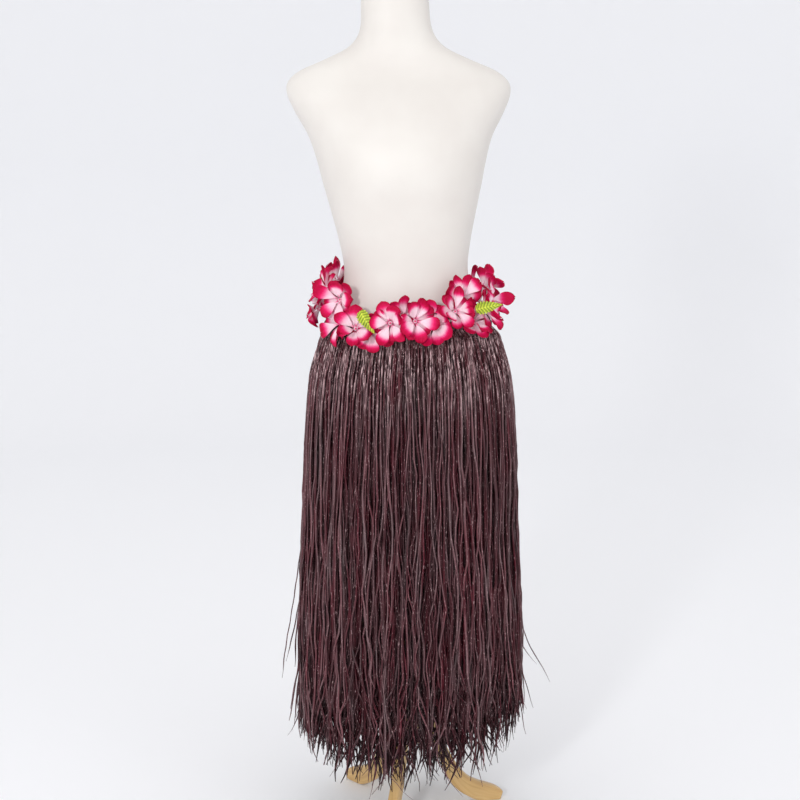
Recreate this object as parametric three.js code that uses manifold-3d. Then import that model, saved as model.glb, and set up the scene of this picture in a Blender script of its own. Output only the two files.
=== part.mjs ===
// A hula skirt with its flower belt, worn on a limbless dress form that stands on a wooden tripod.
// Millimetres, +Z up. The viewer stands at -Y, with +X to the right, and the origin is on the floor
// under the post. Angles go round from +X, so the front is at -90 degrees and the back at 90.
import * as THREE from "three";
import { mergeVertices } from "three/addons/utils/BufferGeometryUtils.js";
import Module from "manifold-3d";

const wasm = await Module();
wasm.setup();

// ---- Driving sizes -----------------------------------------------------------------------------

const SEAM_GAP = 0.3; // between pieces that touch
const FULL_TURN = 2 * Math.PI;

// The dress form: half its width, and its depths forward and back from the post, at each level.
const FORM_LEVELS = [
  { z: 640, side: 150, front: 86, back: 98 },
  { z: 652, side: 157, front: 94, back: 106 },
  { z: 700, side: 161, front: 101, back: 116 },
  { z: 750, side: 162, front: 104, back: 121 },
  { z: 800, side: 157, front: 103, back: 117 },
  { z: 850, side: 145, front: 99, back: 106 },
  { z: 900, side: 129, front: 93, back: 91 },
  { z: 945, side: 113, front: 86, back: 78 },
  { z: 985, side: 107, front: 82, back: 72 },
  { z: 1030, side: 113, front: 90, back: 74 },
  { z: 1080, side: 124, front: 106, back: 82 },
  { z: 1130, side: 136, front: 124, back: 90 },
  { z: 1170, side: 145, front: 126, back: 95 },
  { z: 1210, side: 157, front: 116, back: 98 },
  { z: 1250, side: 178, front: 98, back: 97 },
  { z: 1280, side: 190, front: 80, back: 91 },
  { z: 1300, side: 188, front: 66, back: 84 },
  { z: 1318, side: 168, front: 57, back: 76 },
  { z: 1338, side: 122, front: 52, back: 69 },
  { z: 1358, side: 82, front: 51, back: 64 },
  { z: 1385, side: 62, front: 52, back: 59 },
  { z: 1436, side: 57, front: 52, back: 56 },
];
const SQUARENESS = 2.2; // of the form's and the skirt's sections: 2 is an ellipse
const FORM_SIDES = 22;
const LEAN_FROM_Z = 800; // above it the form leans to the viewer's left
const LEAN = 0.042; // sideways travel for each millimetre of height

// The skirt's outer face: it spreads over the hips, then hangs with a slight flare.
const SKIRT_LEVELS = [
  { z: 60, side: 199, front: 150, back: 162 },
  { z: 200, side: 201, front: 152, back: 164 },
  { z: 320, side: 201, front: 151, back: 163 },
  { z: 430, side: 198, front: 148, back: 160 },
  { z: 540, side: 192, front: 143, back: 155 },
  { z: 620, side: 189, front: 139, back: 152 },
  { z: 700, side: 186, front: 135, back: 149 },
  { z: 760, side: 182, front: 130, back: 145 },
  { z: 807, side: 176, front: 124, back: 138 },
  { z: 835, side: 168, front: 118, back: 130 },
  { z: 862, side: 159, front: 112, back: 119 },
  { z: 890, side: 148, front: 106, back: 107 },
];

const PANELS = 12;
const STRANDS_A_ROW = 9; // in a panel, which has an outer and an inner row
const STRANDS_ROUND = PANELS * STRANDS_A_ROW;
const ROW_CENTRES = [0.25, 0.75]; // in pitches from the panel's edge, outer row then inner
const STRAND_THICK = 3.4;
const ROOT_Z = 888;
const HEM_Z = 140; // mean height of the strands' tips
const HEM_RAGGED = 46; // tips lie this far above or below it
const HEM_DIP = 8; // the front hangs this much lower, and the back this much higher
const HEM_SIDES = 38; // the strands over the hips end this much higher than the front's

// A strand's stations from root to tip: share of its length, half-width in pitches, thickness,
// the share of its sideways sway, of its flare, and of the depth of its own lane.
const STRAND_STATIONS = [
  { along: 0, half: 0.13, thick: 0.9, sway: 0, flare: 0, lane: 0 },
  { along: 0.05, half: 0.37, thick: 1, sway: 0.02, flare: 0, lane: 0.3 },
  { along: 0.15, half: 0.42, thick: 1, sway: 0.12, flare: 0, lane: 1 },
  { along: 0.82, half: 0.36, thick: 0.9, sway: 0.8, flare: 0.45, lane: 1 },
];
// Four lanes, from outside in: how deep each lies at the root and lower down, and its tips' flare.
const LANES = [
  { atRoot: 0.2, below: 0, flareFrom: 1, flareTo: 18 },
  { atRoot: 0.2, below: 4.3, flareFrom: 0, flareTo: 3 },
  { atRoot: 4.2, below: 8.8, flareFrom: -3, flareTo: 0 },
  { atRoot: 4.2, below: 13.1, flareFrom: -10, flareTo: -1 },
];
const SWAY = 7; // millimetres at the tip
// Strands that stray out of the skirt's outline: the angle where each hangs, and where its tip is.
const STRAYS = [
  { around: 180, flare: 38, tipZ: 262 },
  { around: 171, flare: 27, tipZ: 226 },
  { around: 189, flare: 18, tipZ: 150 },
  { around: 2, flare: 40, tipZ: 240 },
  { around: -7, flare: 31, tipZ: 212 },
  { around: 12, flare: 22, tipZ: 158 },
  { around: -90, flare: 36, tipZ: 150 },
  { around: -62, flare: 26, tipZ: 92 },
  { around: -118, flare: 24, tipZ: 90 },
  { around: 88, flare: 30, tipZ: 165 },
  { around: 118, flare: 26, tipZ: 105 },
];

const BAND_BOTTOM = 884;
const BAND_HIGH = 21;
const BAND_CLEAR = 1.6; // from the form
const BAND_THICK = 2.4;
const STRIP_NEAR = BAND_CLEAR + BAND_THICK + SEAM_GAP;
const STRIP_FAR = STRIP_NEAR + 8.2;
const STRIP_END = 0.03; // left free at each end of a panel's strip, in pitches

const CORD_RADIUS = 2.2;
const CORD_CLEAR = 15.4; // from the form to the belt cord's middle
const CORD_Z = 920;
const CORD_DIP = 20; // lower in front and higher behind by this much
const CORD_STATIONS = 30;
const CORD_SIDES = 4;

// A flower: five petals on a funnel whose throat sinks towards the cord.
const PETALS = 5;
const PETAL_LONG = 38;
const PETAL_WALL = 1.5;
const THROAT_RADIUS = 11;
const THROAT_DEEP = 12;
// One petal's edge, from notch to notch: angle from its middle, share of its length, lift.
const PETAL_EDGE = [
  { turn: -36, reach: 0.5, lift: 1 },
  { turn: -19, reach: 0.97, lift: 6 },
  { turn: 19, reach: 0.97, lift: 6 },
];
const PETAL_LIFT = 4; // each petal lies up to this much higher or lower
const FACE_TILT = 17; // a flower turns up to this many degrees from the form's surface
// Where the flowers sit on the belt: the angle round it, the height over the cord, and how far the
// throat stands off the form. The first ones lie in front and keep their petals whole.
const FLOWERS = [
  { around: -87, up: -1, out: 27 },
  { around: -100, up: -4, out: 27 },
  { around: -60, up: 8, out: 28 },
  { around: -123, up: -20, out: 27 },
  { around: -141, up: 22, out: 27 },
  { around: -33, up: 0, out: 27 },
  { around: -162, up: 31, out: 27 },
  { around: -171, up: -8, out: 27 },
  { around: 18, up: 12, out: 27 },
  { around: -74, up: -7, out: 21 },
  { around: -113, up: -18, out: 21 },
  { around: -47, up: -13, out: 21 },
  { around: -94, up: 2, out: 21 },
  { around: -49, up: 27, out: 20 },
  { around: -10, up: 6, out: 21 },
  { around: -137, up: -14, out: 21 },
  { around: 172, up: 14, out: 21 },
  { around: 152, up: 24, out: 27 },
  { around: 40, up: -4, out: 27 },
  { around: 54, up: 18, out: 21 },
  { around: 66, up: -8, out: 27 },
  { around: 79, up: 12, out: 21 },
  { around: 92, up: -6, out: 27 },
  { around: 104, up: 14, out: 21 },
  { around: 116, up: -8, out: 27 },
  { around: 130, up: 12, out: 21 },
  { around: 146, up: -12, out: 27 },
];

const LEAF_WALL = 1.6;
const LEAF_HALF_WIDE = 9;
const LEAF_ARCH = 3;
const LEAF_TEETH = 4; // on each side
const STALK_RADIUS = 1.4;
// Leaves: place on the belt, stand-off of the stalk end, direction from level, lift and length.
const LEAVES = [
  { around: -119, up: 9, out: 45, aim: -50, lift: -4, long: 46 },
  { around: -47, up: 4, out: 44, aim: 6, lift: 38, long: 46 },
  { around: 178, up: 8, out: 34, aim: 118, lift: 12, long: 44 },
  { around: 134, up: 4, out: 34, aim: -36, lift: 14, long: 46 },
  { around: 86, up: 6, out: 36, aim: 148, lift: 10, long: 46 },
  { around: 44, up: 8, out: 34, aim: 40, lift: 12, long: 45 },
];

// The drawstring's knot, its neck and its two free ends, between the flowers in front.
const TIE = { around: -69, up: 7, out: 31, knot: 4.2, neckFrom: 2, neck: 1.4, end: 26, thick: 1.7, wide: 3.2 };
const TIE_AIMS = [8, 172];

const POST_RADIUS = 12.5;
const HUB_RADIUS = 26;
const HUB_BOTTOM = 118;
const HUB_TOP = 252;
const PLATE_RADIUS = 82;
const PLATE_THICK = 12;
const CAP_THICK = 11;
const CAP_PROUD = 2;
const LEG_THICK = 22;
const LEG_AROUND = [-108, 12, 132];
const LEG_NAMES = ["leg_front", "leg_right", "leg_back"];
// A leg's profile, outward from the post and up from the floor.
const LEG_UPPER = [[39, 204], [54, 152], [76, 96], [110, 50], [160, 27], [176, 15]];
const LEG_FOOT = { toe: 171, heel: 136 };
const LEG_LOWER = [[108, 12], [80, 36], [57, 82], [40, 130], [26.3, 166]];
const LEG_TOP = 234;

// ---- Materials ---------------------------------------------------------------------------------

const finish = (color, roughness, metalness = 0) =>
  new THREE.MeshStandardMaterial({ color, roughness, metalness });
const RAFFIA = finish(0x4a3033, 0.45);
const BAND = finish(0x3a2628, 0.8);
const PETAL = finish(0xe23a7c, 0.7);
const LEAF = finish(0x8fae2c, 0.6);
const CORD = finish(0xf2e9e4, 0.8);
const FORM = finish(0xf4f0ea, 0.5);
const WOOD = finish(0xc99d5c, 0.5);

// ---- Helpers -----------------------------------------------------------------------------------

const radians = THREE.MathUtils.degToRad;
const mix = THREE.MathUtils.lerp;

// A repeatable number from -1 to 1 for two whole numbers.
function chance(a, b) {
  const x = Math.sin(a * 12.9898 + b * 78.233) * 43758.5453;
  return 2 * (x - Math.floor(x)) - 1;
}

// A table's row at height z: each column follows a smooth curve through the rows.
function levelAt(table, z) {
  const above = table.findIndex((row) => row.z >= z);
  const i = above < 0 ? table.length - 1 : Math.max(1, above);
  const rows = [table[Math.max(0, i - 2)], table[i - 1], table[i], table[Math.min(table.length - 1, i + 1)]];
  const [before, low, high, after] = rows;
  const span = high.z - low.z;
  const t = THREE.MathUtils.clamp((z - low.z) / span, 0, 1);
  const row = { z };
  for (const key of ["side", "front", "back"]) {
    const slopeLow = ((high[key] - before[key]) / (high.z - before.z)) * span;
    const slopeHigh = ((after[key] - low[key]) / (after.z - low.z)) * span;
    const rise = high[key] - low[key];
    const bend = t * (t - 1) * ((slopeLow - rise) * (t - 1) + (slopeHigh - rise) * t);
    row[key] = low[key] + rise * t + bend;
  }
  return row;
}

const leanAt = (z) => -LEAN * Math.max(0, z - LEAN_FROM_Z);

// A point of a rounded section at an angle, grown outward by some millimetres.
function sectionPoint(row, angle, grow = 0) {
  const c = Math.cos(angle);
  const s = Math.sin(angle);
  const depth = s < 0 ? row.front : row.back;
  const x = (row.side + grow) * Math.sign(c) * Math.abs(c) ** (2 / SQUARENESS);
  const y = (depth + grow) * Math.sign(s) * Math.abs(s) ** (2 / SQUARENESS);
  return new THREE.Vector3(x, y, row.z);
}

function formPoint(z, angle, grow = 0) {
  const point = sectionPoint(levelAt(FORM_LEVELS, z), angle, grow);
  point.x += leanAt(z);
  return point;
}

const skirtPoint = (z, angle, grow = 0) => sectionPoint(levelAt(SKIRT_LEVELS, z), angle, grow);

// The form's surface frame: the way out, the way round and the way up, at a height and an angle.
function formFrame(z, angle) {
  const step = 2;
  const turn = radians(1);
  const round = formPoint(z, angle + turn).sub(formPoint(z, angle - turn)).normalize();
  const rise = formPoint(z + step, angle).sub(formPoint(z - step, angle)).normalize();
  const out = round.clone().cross(rise).normalize();
  const up = out.clone().cross(round).normalize();
  return { out, round, up };
}

// A closed geometry from corners and faces, turned so that its faces point out.
function closed(corners, faces) {
  let volume = 0;
  for (const [a, b, c] of faces) {
    volume += corners[a].dot(corners[b].clone().cross(corners[c]));
  }
  const index = faces.flatMap(([a, b, c]) => (volume < 0 ? [a, c, b] : [a, b, c]));
  const geometry = new THREE.BufferGeometry().setFromPoints(corners);
  geometry.setIndex(index);
  return geometry;
}

// The skin over a row of rings. A ring of one point is a tip; an open ring is capped from its middle.
function loft(rings) {
  const corners = rings.flat();
  const faces = [];
  let first = 0;
  for (let r = 0; r + 1 < rings.length; r++) {
    const [here, next] = [rings[r].length, rings[r + 1].length];
    const second = first + here;
    for (let i = 0; i < Math.max(here, next); i++) {
      const [a, b] = [first + (i % here), first + ((i + 1) % here)];
      const [c, d] = [second + (i % next), second + ((i + 1) % next)];
      if (here > 1) faces.push([a, b, c]);
      if (next > 1) faces.push([c, b, d]);
    }
    first = second;
  }
  return { corners, faces };
}

const middle = (ring) =>
  ring.reduce((sum, point) => sum.add(point), new THREE.Vector3()).divideScalar(ring.length);

// A lofted solid: rings of points, with a flat cap from the middle of each end ring of many points.
function lofted(rings) {
  const ends = [rings[0], rings[rings.length - 1]].map((ring) => (ring.length > 1 ? [[middle(ring)]] : []));
  const { corners, faces } = loft([...ends[0], ...rings, ...ends[1]]);
  return closed(corners, faces);
}

// A solid ring: equal sections that follow each other round and meet again.
function ringed(sections) {
  const { corners, faces } = loft([...sections, sections[0]]);
  return mergeVertices(closed(corners, faces), 1e-4);
}

function solidOf(geometry) {
  const bare = geometry.clone();
  bare.deleteAttribute("normal");
  bare.deleteAttribute("uv");
  const merged = mergeVertices(bare, 1e-4);
  return new wasm.Manifold(
    new wasm.Mesh({
      numProp: 3,
      vertProperties: merged.attributes.position.array,
      triVerts: new Uint32Array(merged.index.array),
    }),
  );
}

function geometryOf(solid) {
  const mesh = solid.getMesh();
  return new THREE.BufferGeometry()
    .setAttribute("position", new THREE.BufferAttribute(mesh.vertProperties, 3))
    .setIndex(new THREE.BufferAttribute(mesh.triVerts, 1));
}

// What is left of a solid when others, made a little larger, are cut from it: its largest piece.
function trimmed(solid, others) {
  const left = others.reduce((rest, other) => rest.subtract(other), solid);
  return left.decompose().reduce((a, b) => (a.volume() > b.volume() ? a : b));
}

const skirtAndForm = new THREE.Group();

function piece(name, geometry, material, parent = skirtAndForm) {
  const mesh = new THREE.Mesh(geometry, material);
  mesh.name = name;
  parent.add(mesh);
  return mesh;
}

const numbered = (name, i) => `${name}_${String(i + 1).padStart(2, "0")}`;

// ---- The dress form and its tripod -------------------------------------------------------------

function formRing(row) {
  return Array.from({ length: FORM_SIDES }, (_, i) => formPoint(row.z, (FULL_TURN * i) / FORM_SIDES));
}

function addForm() {
  piece("form_torso", lofted(FORM_LEVELS.map(formRing)), FORM);
  const neck = FORM_LEVELS[FORM_LEVELS.length - 1];
  const capRing = (z, proud) =>
    formRing(neck).map((point) => {
      const grown = point.clone().sub(new THREE.Vector3(leanAt(neck.z), 0, neck.z));
      const share = 1 + proud / neck.side;
      return new THREE.Vector3(grown.x * share + leanAt(neck.z), grown.y * share, z);
    });
  const capBottom = neck.z + SEAM_GAP;
  const rings = [
    capRing(capBottom, CAP_PROUD),
    capRing(capBottom + 0.7 * CAP_THICK, CAP_PROUD),
    capRing(capBottom + CAP_THICK, -2 * CAP_PROUD),
  ];
  piece("form_neck_cap", lofted(rings), FORM);
}

function turned(name, profile, z, sides) {
  const points = profile.map(([radius, height]) => new THREE.Vector2(radius, height));
  const mesh = piece(name, new THREE.LatheGeometry(points, sides), WOOD);
  mesh.rotation.x = Math.PI / 2;
  mesh.position.z = z;
}

function addTripod() {
  const plateTop = FORM_LEVELS[0].z - SEAM_GAP;
  const plateBottom = plateTop - PLATE_THICK;
  const plate = [
    [0, 0], [PLATE_RADIUS - 3, 0], [PLATE_RADIUS, 3], [PLATE_RADIUS, PLATE_THICK], [0, PLATE_THICK],
  ];
  turned("stand_plate", plate, plateBottom, 28);
  const postLong = plateBottom - SEAM_GAP - (HUB_TOP + SEAM_GAP);
  turned("stand_post", [[0, 0], [POST_RADIUS, 0], [POST_RADIUS, postLong], [0, postLong]],
    HUB_TOP + SEAM_GAP, 16);
  const hubHigh = HUB_TOP - HUB_BOTTOM;
  const hub = [
    [0, 0], [13, 2], [22, 12], [HUB_RADIUS, 24], [HUB_RADIUS, hubHigh - 15],
    [20, hubHigh - 9], [16, hubHigh], [0, hubHigh],
  ];
  turned("stand_hub", hub, HUB_BOTTOM, 24);
  const innerEdge = HUB_RADIUS + SEAM_GAP;
  const profile = new THREE.Shape();
  const lower = LEG_LOWER.map(([r, z]) => new THREE.Vector2(Math.max(r, innerEdge), z));
  profile.moveTo(innerEdge, lower[lower.length - 1].y);
  profile.lineTo(innerEdge, LEG_TOP);
  profile.splineThru(LEG_UPPER.map(([r, z]) => new THREE.Vector2(r, z)));
  profile.lineTo(LEG_FOOT.toe, 0);
  profile.lineTo(LEG_FOOT.heel, 0);
  profile.splineThru(lower);
  LEG_AROUND.forEach((around, i) => {
    const turn = new THREE.Group();
    turn.rotation.z = radians(around);
    skirtAndForm.add(turn);
    const cut = { depth: LEG_THICK, bevelEnabled: false, curveSegments: 2 };
    const shape = new THREE.ExtrudeGeometry(profile, cut);
    const leg = piece(LEG_NAMES[i], shape, WOOD, turn);
    leg.rotation.x = Math.PI / 2;
    leg.position.y = LEG_THICK / 2;
  });
}

// ---- The skirt ---------------------------------------------------------------------------------

// Angles that cut the skirt's girth into equal lengths, for shares of the way round.
const GIRTH_STEPS = 720;
const girth = [0];
for (let i = 1; i <= GIRTH_STEPS; i++) {
  const at = (k) => skirtPoint(700, (FULL_TURN * k) / GIRTH_STEPS);
  girth.push(girth[i - 1] + at(i).distanceTo(at(i - 1)));
}

function angleOf(share) {
  const turns = Math.floor(share);
  const length = (share - turns) * girth[GIRTH_STEPS];
  const i = Math.max(1, girth.findIndex((so) => so >= length));
  const part = (length - girth[i - 1]) / (girth[i] - girth[i - 1]);
  return FULL_TURN * (turns + (i - 1 + part) / GIRTH_STEPS);
}

const PITCH = girth[GIRTH_STEPS] / STRANDS_ROUND;

// The four corners of a band's section at an angle, between two distances from the form.
function bandSection(angle, near, far, top) {
  return [
    formPoint(BAND_BOTTOM, angle, near),
    formPoint(BAND_BOTTOM, angle, far),
    formPoint(top, angle, far),
    formPoint(top, angle, near),
  ];
}

function addWaistband() {
  const sections = Array.from({ length: 3 * PANELS }, (_, i) =>
    bandSection(angleOf(i / (3 * PANELS)), BAND_CLEAR, BAND_CLEAR + BAND_THICK, BAND_BOTTOM + BAND_HIGH + 2),
  );
  piece("skirt_waistband", ringed(sections), BAND);
}

function backingStrip(panel) {
  const ends = STRIP_END / STRANDS_A_ROW;
  const shares = [ends, 1 / 3, 2 / 3, 1 - ends].map((part) => (panel + part) / PANELS);
  return lofted(
    shares.map((share) => bandSection(angleOf(share), STRIP_NEAR, STRIP_FAR, BAND_BOTTOM + BAND_HIGH)),
  );
}

// The nearest outer strand to each stray's angle carries it.
function strayOf(strand) {
  return STRAYS.find((stray) => {
    let best = 0;
    for (let i = 0; i < STRANDS_ROUND; i += 2) {
      const apart = (k) =>
        Math.abs(Math.sin((angleOf((k + ROW_CENTRES[0]) / STRANDS_ROUND) - radians(stray.around)) / 2));
      if (apart(i) < apart(best)) best = i;
    }
    return best === strand;
  });
}

// A strand: a three-sided lock that narrows at its root and tip, sways and flares.
function strand(number, row) {
  const lane = 2 * row + (number % 2);
  const { atRoot, below, flareFrom, flareTo } = LANES[lane];
  const angle = angleOf((number + ROW_CENTRES[row]) / STRANDS_ROUND);
  const stray = lane === 0 ? strayOf(number) : undefined;
  const hem = HEM_Z + HEM_DIP * Math.sin(angle) + HEM_SIDES * Math.cos(angle) ** 2;
  const ragged = HEM_RAGGED * (chance(number, 5 + row) + (lane > 1 ? 0.6 : 0));
  const tipZ = stray ? stray.tipZ : hem + ragged;
  const flare = stray ? stray.flare : mix(flareFrom, flareTo, 0.5 + 0.5 * chance(number, 11 + row));
  const sway = SWAY * chance(number, 17 + row);
  const at = ({ along, sway: swayed, flare: flared, lane: laned }) => {
    const z = mix(ROOT_Z, tipZ, along);
    const grow = flare * flared - mix(atRoot, below, laned) - STRAND_THICK / 2;
    const point = along ? skirtPoint(z, angle, grow) : formPoint(z, angle, STRIP_FAR + grow);
    const round = skirtPoint(z, angle + 0.01).sub(skirtPoint(z, angle - 0.01)).normalize();
    const out = new THREE.Vector3(round.y, -round.x, 0);
    return { point: point.addScaledVector(round, sway * swayed), round, out };
  };
  const rings = STRAND_STATIONS.map((station) => {
    const { point, round, out } = at(station);
    const half = station.half * PITCH;
    const thick = (station.thick * STRAND_THICK) / 2;
    return [
      point.clone().addScaledVector(round, -half).addScaledVector(out, -thick),
      point.clone().addScaledVector(round, half).addScaledVector(out, -thick),
      point.clone().addScaledVector(out, thick),
    ];
  });
  const tip = at({ along: 1, sway: 1, flare: 1, lane: 1 }).point;
  return lofted([...rings, [tip]]);
}

function addPanels() {
  for (let panel = 0; panel < PANELS; panel++) {
    let solid = solidOf(backingStrip(panel));
    for (let i = 0; i < STRANDS_A_ROW; i++) {
      for (const row of [0, 1]) {
        solid = solid.add(solidOf(strand(panel * STRANDS_A_ROW + i, row)));
      }
    }
    piece(numbered("skirt_panel", panel), geometryOf(solid), RAFFIA);
  }
}

// ---- The flower belt ---------------------------------------------------------------------------

const cordZ = (angle) => CORD_Z + CORD_DIP * Math.sin(angle);
const cordPoint = (angle) => formPoint(cordZ(angle), angle, CORD_CLEAR);

function addCord() {
  const sections = Array.from({ length: CORD_STATIONS }, (_, i) => {
    const angle = (FULL_TURN * i) / CORD_STATIONS;
    const { out, up } = formFrame(cordZ(angle), angle);
    return Array.from({ length: CORD_SIDES }, (_, k) => {
      const turn = (FULL_TURN * k) / CORD_SIDES;
      return cordPoint(angle)
        .addScaledVector(out, CORD_RADIUS * Math.cos(turn))
        .addScaledVector(up, CORD_RADIUS * Math.sin(turn));
    });
  });
  piece("belt_cord", ringed(sections), CORD);
}

// A place on the belt: a point off the form's surface, and the surface's frame there.
function beltPlace({ around, up, out }) {
  const angle = radians(around);
  const z = cordZ(angle) + up;
  const frame = formFrame(z, angle);
  return { ...frame, angle, point: formPoint(z, angle).addScaledVector(frame.out, out) };
}

// A way along the form's surface, some degrees up from level.
const headed = ({ round, up }, degrees) =>
  round.clone().multiplyScalar(Math.cos(radians(degrees))).addScaledVector(up, Math.sin(radians(degrees)));

// A flower's solid; extra makes a larger one, which cuts room for its neighbours.
function flower(number, extra = 0) {
  const { point, out, round, up, angle } = beltPlace(FLOWERS[number]);
  const nod = radians(FACE_TILT * chance(number, 23));
  const turn = radians(FACE_TILT * chance(number, 29));
  const spin = radians(36 * chance(number, 31));
  const axis = out.clone().addScaledVector(up, Math.tan(nod)).addScaledVector(round, Math.tan(turn));
  axis.normalize();
  const across = round.clone().addScaledVector(axis, -round.dot(axis)).normalize();
  const rise = axis.clone().cross(across);
  const at = (radius, turned, height) =>
    point.clone()
      .addScaledVector(across, radius * Math.cos(turned))
      .addScaledVector(rise, radius * Math.sin(turned))
      .addScaledVector(axis, height);
  const spots = Array.from({ length: PETALS * PETAL_EDGE.length }, (_, i) => {
    const petal = Math.floor(i / PETAL_EDGE.length);
    const edge = PETAL_EDGE[i % PETAL_EDGE.length];
    const turned = spin + radians(edge.turn + (petal * 360) / PETALS);
    const lift = THROAT_DEEP + edge.lift + (edge.reach > 0.5 ? PETAL_LIFT * chance(number, 37 + petal) : 0);
    return { turned, reach: edge.reach * PETAL_LONG + extra, lift };
  });
  const face = (drop, wider) => [
    spots.map(({ turned }) => at(THROAT_RADIUS + wider, turned, 0.78 * THROAT_DEEP + drop)),
    spots.map(({ turned, reach, lift }) => at(reach, turned, lift + drop)),
  ];
  const [frontThroat, frontEdge] = face(extra, 0);
  const [backThroat, backEdge] = face(-PETAL_WALL - extra, extra);
  const root = cordSpot(angle, point, extra);
  return solidOf(lofted([[at(0, 0, extra)], frontThroat, frontEdge, backEdge, backThroat, [root]]));
}

// A three-sided rod between two points; extra makes it thicker and longer.
function rod(from, to, radius, extra) {
  const along = to.clone().sub(from).normalize();
  const side = new THREE.Vector3(0, 0, 1).cross(along).normalize();
  const rise = along.clone().cross(side);
  const ring = (middle) =>
    [0, 1, 2].map((k) => {
      const turn = (FULL_TURN * k) / 3;
      return middle.clone()
        .addScaledVector(side, (radius + 2 * extra) * Math.cos(turn))
        .addScaledVector(rise, (radius + 2 * extra) * Math.sin(turn));
    });
  return solidOf(lofted([ring(from), ring(to.clone().addScaledVector(along, 2 * extra))]));
}

// Just off the belt cord, on the side that faces a point; extra takes it into the cord.
function cordSpot(angle, point, extra) {
  const cord = cordPoint(angle);
  const towards = point.clone().sub(cord).normalize();
  return cord.addScaledVector(towards, CORD_RADIUS + SEAM_GAP + 0.5 - 2 * extra);
}

// A leaf: a stalk from the cord, and an arched blade with saw teeth.
function leaf(number, extra = 0) {
  const { aim, lift, long } = LEAVES[number];
  const place = beltPlace(LEAVES[number]);
  const { point, out, angle } = place;
  const along = headed(place, aim).multiplyScalar(Math.cos(radians(lift)));
  along.addScaledVector(out, Math.sin(radians(lift)));
  const face = out.clone().addScaledVector(along, -out.dot(along)).normalize();
  const across = face.clone().cross(along);
  const at = (share, side, height) =>
    point.clone()
      .addScaledVector(along, share * (long + 2 * extra) - extra)
      .addScaledVector(across, side)
      .addScaledVector(face, height);
  const rings = [];
  const steps = 2 * LEAF_TEETH;
  for (let i = 1; i < steps; i++) {
    const share = i / steps;
    const blade = Math.sin(Math.PI * share ** 0.62) ** 0.8;
    const half = LEAF_HALF_WIDE * blade * (i % 2 ? 1 : 0.72) + extra;
    const arch = LEAF_ARCH * Math.sin(Math.PI * share);
    const [low, high] = [arch - LEAF_WALL / 2 - extra, arch + LEAF_WALL / 2 + extra];
    rings.push([at(share, -half, low), at(share, half, low), at(share, half, high), at(share, -half, high)]);
  }
  const blade = solidOf(lofted([[at(0, 0, 0)], ...rings, [at(1, 0, 0)]]));
  return blade.add(rod(cordSpot(angle, point, extra), at(0.07, 0, 0.4), STALK_RADIUS, extra));
}

// The tie: the drawstring's neck from the waistband, its knot, and the two flat ends.
function tie(extra = 0) {
  const place = beltPlace(TIE);
  const { point, out } = place;
  let solid = solidOf(new THREE.IcosahedronGeometry(TIE.knot + extra, 0).translate(...point.toArray()));
  solid = solid.add(rod(point.clone().addScaledVector(out, TIE.neckFrom - TIE.out), point, TIE.neck, extra));
  TIE_AIMS.forEach((aim, i) => {
    const along = headed(place, aim);
    const across = out.clone().cross(along);
    const ring = (share, width) => {
      const middleOf = point.clone().addScaledVector(along, share * TIE.end)
        .addScaledVector(across, (i ? 5 : -5) * share ** 2);
      const [half, thick] = [width / 2 + extra, TIE.thick / 2 + extra];
      return [[-half, -thick], [half, -thick], [half, thick], [-half, thick]].map(([w, t]) =>
        middleOf.clone().addScaledVector(across, w).addScaledVector(out, t),
      );
    };
    const end = lofted([ring(0, 0.6 * TIE.wide), ring(0.45, TIE.wide), ring(1, 0.3 * TIE.wide)]);
    solid = solid.add(solidOf(end));
  });
  return solid;
}

function addFlowerBelt() {
  addCord();
  const room = [tie(SEAM_GAP), ...LEAVES.map((_, i) => leaf(i, SEAM_GAP))];
  piece("skirt_tie", geometryOf(tie()), BAND);
  LEAVES.forEach((_, i) => piece(numbered("belt_leaf", i), geometryOf(leaf(i)), LEAF));
  FLOWERS.forEach((_, i) => {
    piece(numbered("belt_flower", i), geometryOf(trimmed(flower(i), room)), PETAL);
    room.push(flower(i, SEAM_GAP));
  });
}

addTripod();
addForm();
addWaistband();
addPanels();
addFlowerBelt();

export default skirtAndForm;
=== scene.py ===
"""A hula skirt with its flower belt, on a limbless dress form that stands on a wooden tripod.

Metres, +Z up, with the front towards -Y and the origin on the floor under the post. Angles go round
from +X, so the front is at -90 degrees. Each new piece is a surface worked out on whole arrays: a
grid of two parameters, or a section carried along a path.
"""
import math

import bpy
import numpy as np
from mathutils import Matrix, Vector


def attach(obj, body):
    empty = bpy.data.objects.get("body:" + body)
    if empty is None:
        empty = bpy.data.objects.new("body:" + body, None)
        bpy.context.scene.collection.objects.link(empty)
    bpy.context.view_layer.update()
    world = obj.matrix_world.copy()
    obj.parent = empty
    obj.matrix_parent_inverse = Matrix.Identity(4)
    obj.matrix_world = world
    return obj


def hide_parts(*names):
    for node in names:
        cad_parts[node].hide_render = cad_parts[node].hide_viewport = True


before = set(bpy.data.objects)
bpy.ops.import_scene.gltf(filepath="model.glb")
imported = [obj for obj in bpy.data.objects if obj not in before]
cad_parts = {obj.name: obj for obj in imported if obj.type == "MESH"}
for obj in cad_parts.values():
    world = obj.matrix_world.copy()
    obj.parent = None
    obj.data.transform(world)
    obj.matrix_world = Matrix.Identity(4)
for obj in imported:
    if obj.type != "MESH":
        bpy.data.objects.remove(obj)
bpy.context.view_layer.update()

# ---- Sizes shared with the frame ----

MM = 0.001
TURN = 2 * math.pi
SQUARENESS = 2.2  # of the rounded sections: 2 is an ellipse

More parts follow.
